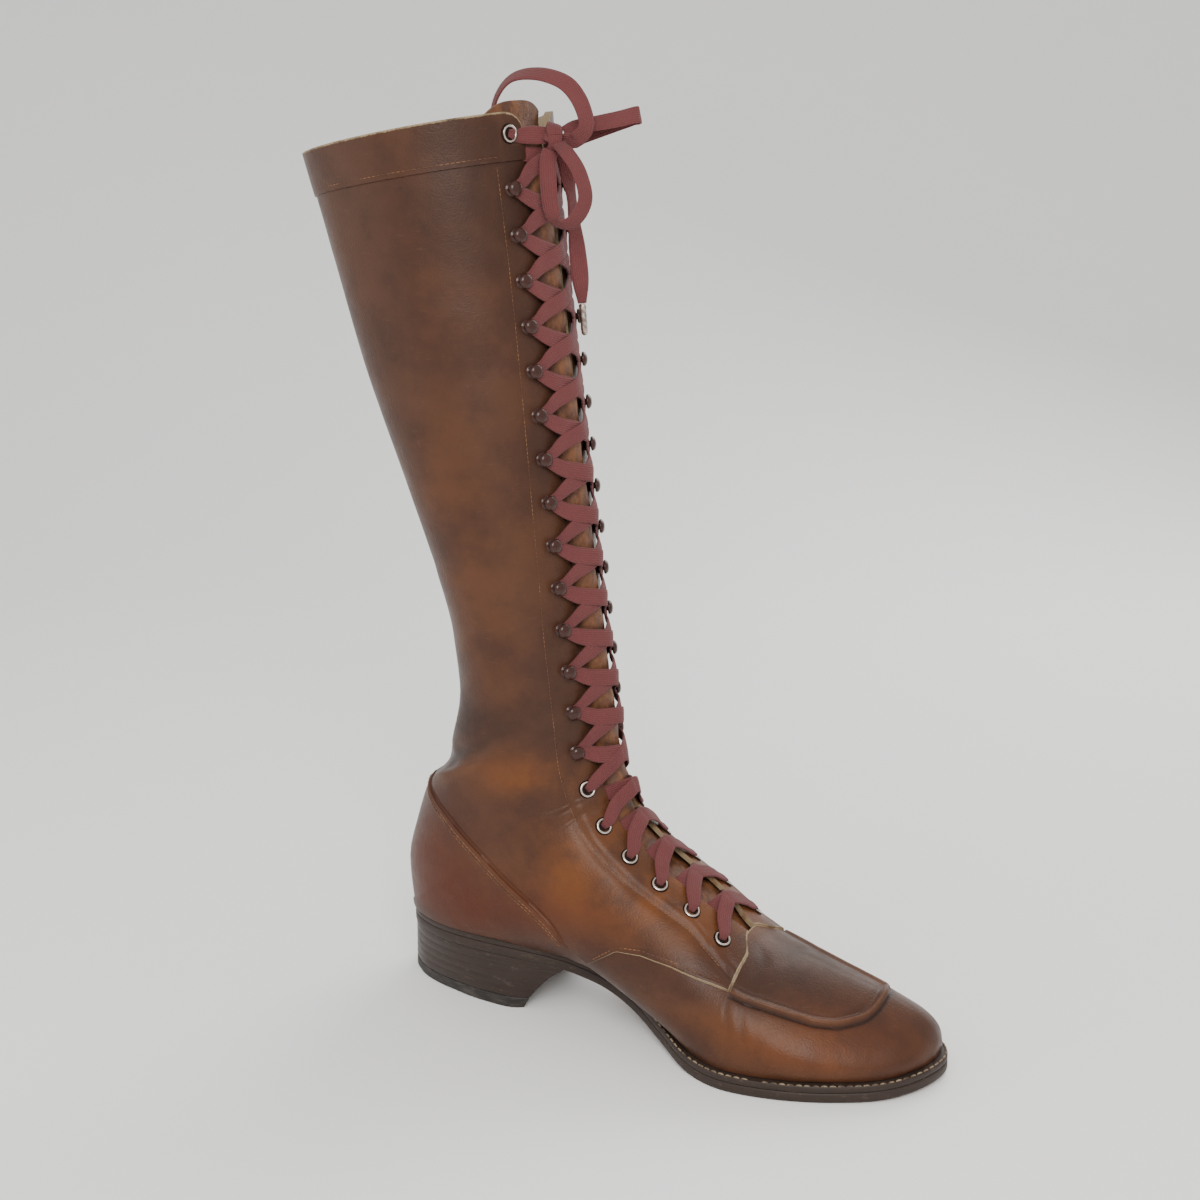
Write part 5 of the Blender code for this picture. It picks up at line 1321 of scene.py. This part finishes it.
# ---------------------------------------------------------------------------
# Eyelets and hooks. Six brass eyelets, worn to bright metal on their rims, and fourteen
# brown enamelled lacing hooks riveted up each facing, with one more eyelet at the top.
# ---------------------------------------------------------------------------
LACING_ARC = 18.2
FIRST_EYELET_RUN = 13.0
EYELET_PITCH = 18.4
HOOK_PITCH = 19.0
TOP_EYELET_PITCH = 22.3
INSTEP_EYELETS = 6
HOOKS = 14
HOOK_BACK = 1.6
ROUND = 28
EYELET = ((2.35, -1.6), (2.4, 0.1), (2.6, 0.75), (2.95, 1.05), (3.3, 1.0), (3.8, 0.7),
          (4.1, 0.25), (4.15, 0.0), (3.9, -0.2))
HOOK = ((0.0, -0.2), (2.9, -0.2), (3.0, 0.15), (2.7, 0.45), (1.8, 0.7), (1.35, 1.1),
        (1.3, 1.9), (1.6, 2.35), (2.6, 2.45), (3.1, 2.65), (3.3, 3.0), (3.25, 3.4),
        (2.95, 3.9), (2.4, 4.35), (1.65, 4.65), (0.8, 4.82), (0.0, 4.85))


def lacing_stations():
    """Keys of the eyelets and hooks along the facing, from the throat up."""
    ks = np.linspace(KEYS[THROAT], KEYS[COLLAR], 260)
    line = np.array([on_leather(k, LACING_ARC) for k in ks])
    run = np.concatenate([[0.0], np.cumsum(np.linalg.norm(np.diff(line, axis=0), axis=1))])
    runs = [FIRST_EYELET_RUN + EYELET_PITCH * k for k in range(INSTEP_EYELETS)]
    runs += [runs[-1] + HOOK_PITCH * (k + 1) for k in range(HOOKS)]
    return [float(np.interp(r, run, ks)) for r in [*runs, runs[-1] + TOP_EYELET_PITCH]]


STATIONS = lacing_stations()


def turned_on(profile, key, arc):
    """A turned piece standing on the leather, and how worn each of its points is."""
    place, _ = on_skin(key, arc)
    out = facing_out(key, arc)
    along = on_leather(key + 1.0, arc) - on_leather(key - 1.0, arc)
    along /= np.linalg.norm(along)
    across = np.cross(along, out)
    points, faces, rim_wear = [], [], []
    for k in range(ROUND):
        angle = 2 * math.pi * k / ROUND
        for n, (radius, height) in enumerate(profile):
            points.append(place + (across * math.cos(angle) + along * math.sin(angle)) * radius
                          + out * height)
            rim_wear.append(1.0 if profile is EYELET and 2 <= n <= 4 else 0.0)
    count = len(profile)
    for k in range(ROUND):
        a, b = k * count, (k + 1) % ROUND * count
        faces += [[a + n, b + n, b + n + 1, a + n + 1] for n in range(count - 1)]
    return points, faces, rim_wear


nickel = Finish("worn_nickel", metallic=1.0)
bite = nickel.clouds(0.9, 5.0, 0.7)
worn_rim = (nickel.drawn("worn") + (bite - 0.5) * 0.7).clear_of(0.35, 0.6)
nickel_finish = nickel.cover(
    nickel.blend((0.035, 0.018, 0.014), (0.52, 0.46, 0.41), worn_rim),
    0.42 - worn_rim * 0.16 + bite * 0.1, bite, 0.04)
enamel = Finish("brown_enamel", specular_ior_level=0.16, coat_weight=0.3, coat_roughness=0.05)
chip = enamel.clouds(1.1, 5.0, 0.75)
enamel_finish = enamel.cover(
    enamel.blend((0.036, 0.0115, 0.0080), (0.10, 0.05, 0.034), chip.clear_of(0.66, 0.74)),
    chip * 0.15 + 0.2, chip, 0.03)
# Painted shade: a near-black finish for small discs laid in the eyelets' holes, standing in for
# the shade inside each hole.
hole_shade = Finish("eyelet_hole_painted_shade", specular_ior_level=0.1)
hole_shade_finish = hole_shade.cover(hole_shade.blend((0.008, 0.005, 0.004), (0.02, 0.012, 0.01),
                                    hole_shade.clouds(1.0)), 0.9 + hole_shade.clouds(1.0) * 0.05)
for side, letter in ((-1, "outer"), (1, "inner")):
    eyelets, hooks, hole_shade_discs, names = [], [], [], {"eyelet": [], "hook": []}
    for k, key in enumerate(STATIONS):
        is_hook = INSTEP_EYELETS <= k < INSTEP_EYELETS + HOOKS
        number = k - INSTEP_EYELETS + 1 if is_hook else k + 1
        label = "top" if k == len(STATIONS) - 1 else number
        kind = "hook" if is_hook else "eyelet"
        names[kind].append(f"{kind}_{letter}_{label}")
        (hooks if is_hook else eyelets).append(
            turned_on(HOOK if is_hook else EYELET, key,
                      side * (LACING_ARC + (HOOK_BACK if is_hook else 0.0))))
        if not is_hook:
            # a near-black disc in the eyelet's hole: painted shade
            spot = turned_on(((0.0, 0.12), (1.2, 0.1), (2.2, 0.05)), key, side * LACING_ARC)
            hole_shade_discs.append(spot)
    for kind, parts, finish, slot in (("eyelet", eyelets, nickel_finish, "worn_nickel"),
                                      ("hook", hooks, enamel_finish, "brown_enamel")):
        points, faces, rim_wear = join_parts(parts)
        row = add_mesh(f"{kind}s_{letter}", points, faces, [finish], {"worn": rim_wear})
        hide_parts(*names[kind])
    hole_shade_mesh = add_mesh(f"eyelet_holes_{letter}", *join_parts(hole_shade_discs)[:2], [hole_shade_finish])

# ---------------------------------------------------------------------------
# Lacing. One long flat lace: it comes up through each instep eyelet and dives under the
# other facing, then goes round each hook's neck and over to the next hook, crossing
# itself in front of the tongue, and runs through the top eyelets to the knot.
# ---------------------------------------------------------------------------
# Rows of the lace close to a hook or eyelet: key and arc from it, lift, share of width
FROM_HOOK = ((1.2, 0.2, 1.3, 0.45), (2.6, -3.6, 1.7, 0.72))
TO_HOOK = ((-3.4, -3.6, 1.7, 0.85), (-1.4, 0.2, 1.3, 0.5), (0.0, 1.3, 1.3, 0.4))
FROM_EYELET = ((0.0, 0.0, -2.4, 0.36), (0.4, -0.6, 1.1, 0.5), (2.6, -4.0, 1.3, 0.85))
# The lace from each top eyelet to the knot, by side: x, y, z, share of width
TO_KNOT = {-1: ((74.6, -15.6, 399.8, 0.8), (79.0, -10.5, 400.0, 1.0), (83.6, -5.5, 399.6, 0.9)),
           1: ((74.8, 13.0, 400.6, 0.8), (79.2, 6.5, 401.0, 1.0), (84.2, 0.5, 400.4, 0.9))}


def lace_point(key, arc, lift, width):
    """A row of the lacing: a place above the leather, the way it faces and its width."""
    out = facing_out(key, arc)
    base = QUARTER_LIFT + CUFF_LIFT * float(ease(key, KEYS[CUFF] - 1.0, KEYS[CUFF]))
    return [*(on_leather(key, arc) + out * (base + lift)), *out, width * LACE_WIDTH]


lacings = []
for first_side in (-1, 1):
    rows = []
    side = first_side
    for k, (low, high) in enumerate(zip(STATIONS, STATIONS[1:])):
        step = high - low
        up = crossing_lift((low + high) / 2)
        steep = side < 0
        above = (k % 2 == 0) if k < INSTEP_EYELETS else (steep == (k > 12))
        ride_over = 1.5 if above else 0.0
        arc = LACING_ARC
        from_hook = INSTEP_EYELETS <= k < INSTEP_EYELETS + HOOKS
        to_hook = INSTEP_EYELETS <= k + 1 < INSTEP_EYELETS + HOOKS
        rows += [lace_point(low + ahead, side * (arc + aside), lift, width)
                 for ahead, aside, lift, width in (FROM_HOOK if from_hook else FROM_EYELET)]
        if from_hook:
            rows.append(lace_point(low + step * 0.32, side * 9.5, 1.4 + up * 0.42, 1.0))
        else:
            rows.append(lace_point(low + step * 0.3, side * 9.0, 1.2 + up * 0.4, 0.98))
        rows.append(lace_point(low + step * 0.5, side * 0.5, up + ride_over, 1.0))
        side = -side
        if to_hook:
            rows.append(lace_point(high - step * 0.32, side * 9.5, 1.4 + up * 0.42, 1.0))
            rows += [lace_point(high + ahead, side * (arc + aside), lift, width)
                     for ahead, aside, lift, width in TO_HOOK]
        else:
            slit = float(smooth(SLIT, high - step * 0.4))
            rows.append(lace_point(high - step * 0.42, side * (slit - 2.2),
                                   0.4 if slit > 5 else 0.9, 0.95))
            rows.append(lace_point(high - step * 0.3, side * (slit + 2.6), -2.75, 0.9))
            rows.append(lace_point(high - 3.0, side * (arc - 2.6), -2.75, 0.8))
    rows.append(lace_point(STATIONS[-1], side * arc, -2.4, 0.36))
    rows.append(lace_point(STATIONS[-1], side * (arc - 0.4), 1.0, 0.5))
    for x, y, z, width in TO_KNOT[side]:
        face = np.array((0.75, side * 0.62, 0.15))
        rows.append([x, y, z, *face, width * LACE_WIDTH])
    lacings.append(lace_strip(respaced(rows, 1.3)))
points, faces, sides, lengths = join_parts(lacings)
lacing = add_mesh("lace_crossings_ribbon", points, faces, [lace_finish],
                  {"across": sides, "along": lengths}, sharp=70.0)
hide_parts("lace_crossings")

# ---------------------------------------------------------------------------
# Floor. A sheet of plain pale paper that sweeps up far behind the boot; it is not part
# of the boot.
# ---------------------------------------------------------------------------
FLOOR_HALF = 3.0
SWEEP_AWAY = (-0.478, 0.878)
SWEEP_START = 0.75
SWEEP_RISE = 0.55
paper = Finish("floor_paper", specular_ior_level=0.15)
paper_finish = paper.cover(paper.blend((0.87, 0.868, 0.86), (0.89, 0.888, 0.88),
                                       paper.clouds(60.0)), 0.9)
sheet = bmesh.new()
bmesh.ops.create_grid(sheet, x_segments=80, y_segments=80, size=FLOOR_HALF)
for corner in sheet.verts:
    behind = corner.co.to_2d() @ Vector(SWEEP_AWAY) - SWEEP_START
    corner.co.z = SWEEP_RISE * max(behind, 0.0) ** 2
mesh = bpy.data.meshes.new("floor")
sheet.to_mesh(mesh)
sheet.free()
mesh.materials.append(paper_finish)
mesh.shade_smooth()
floor = bpy.data.objects.new("floor", mesh)
bpy.context.collection.objects.link(floor)
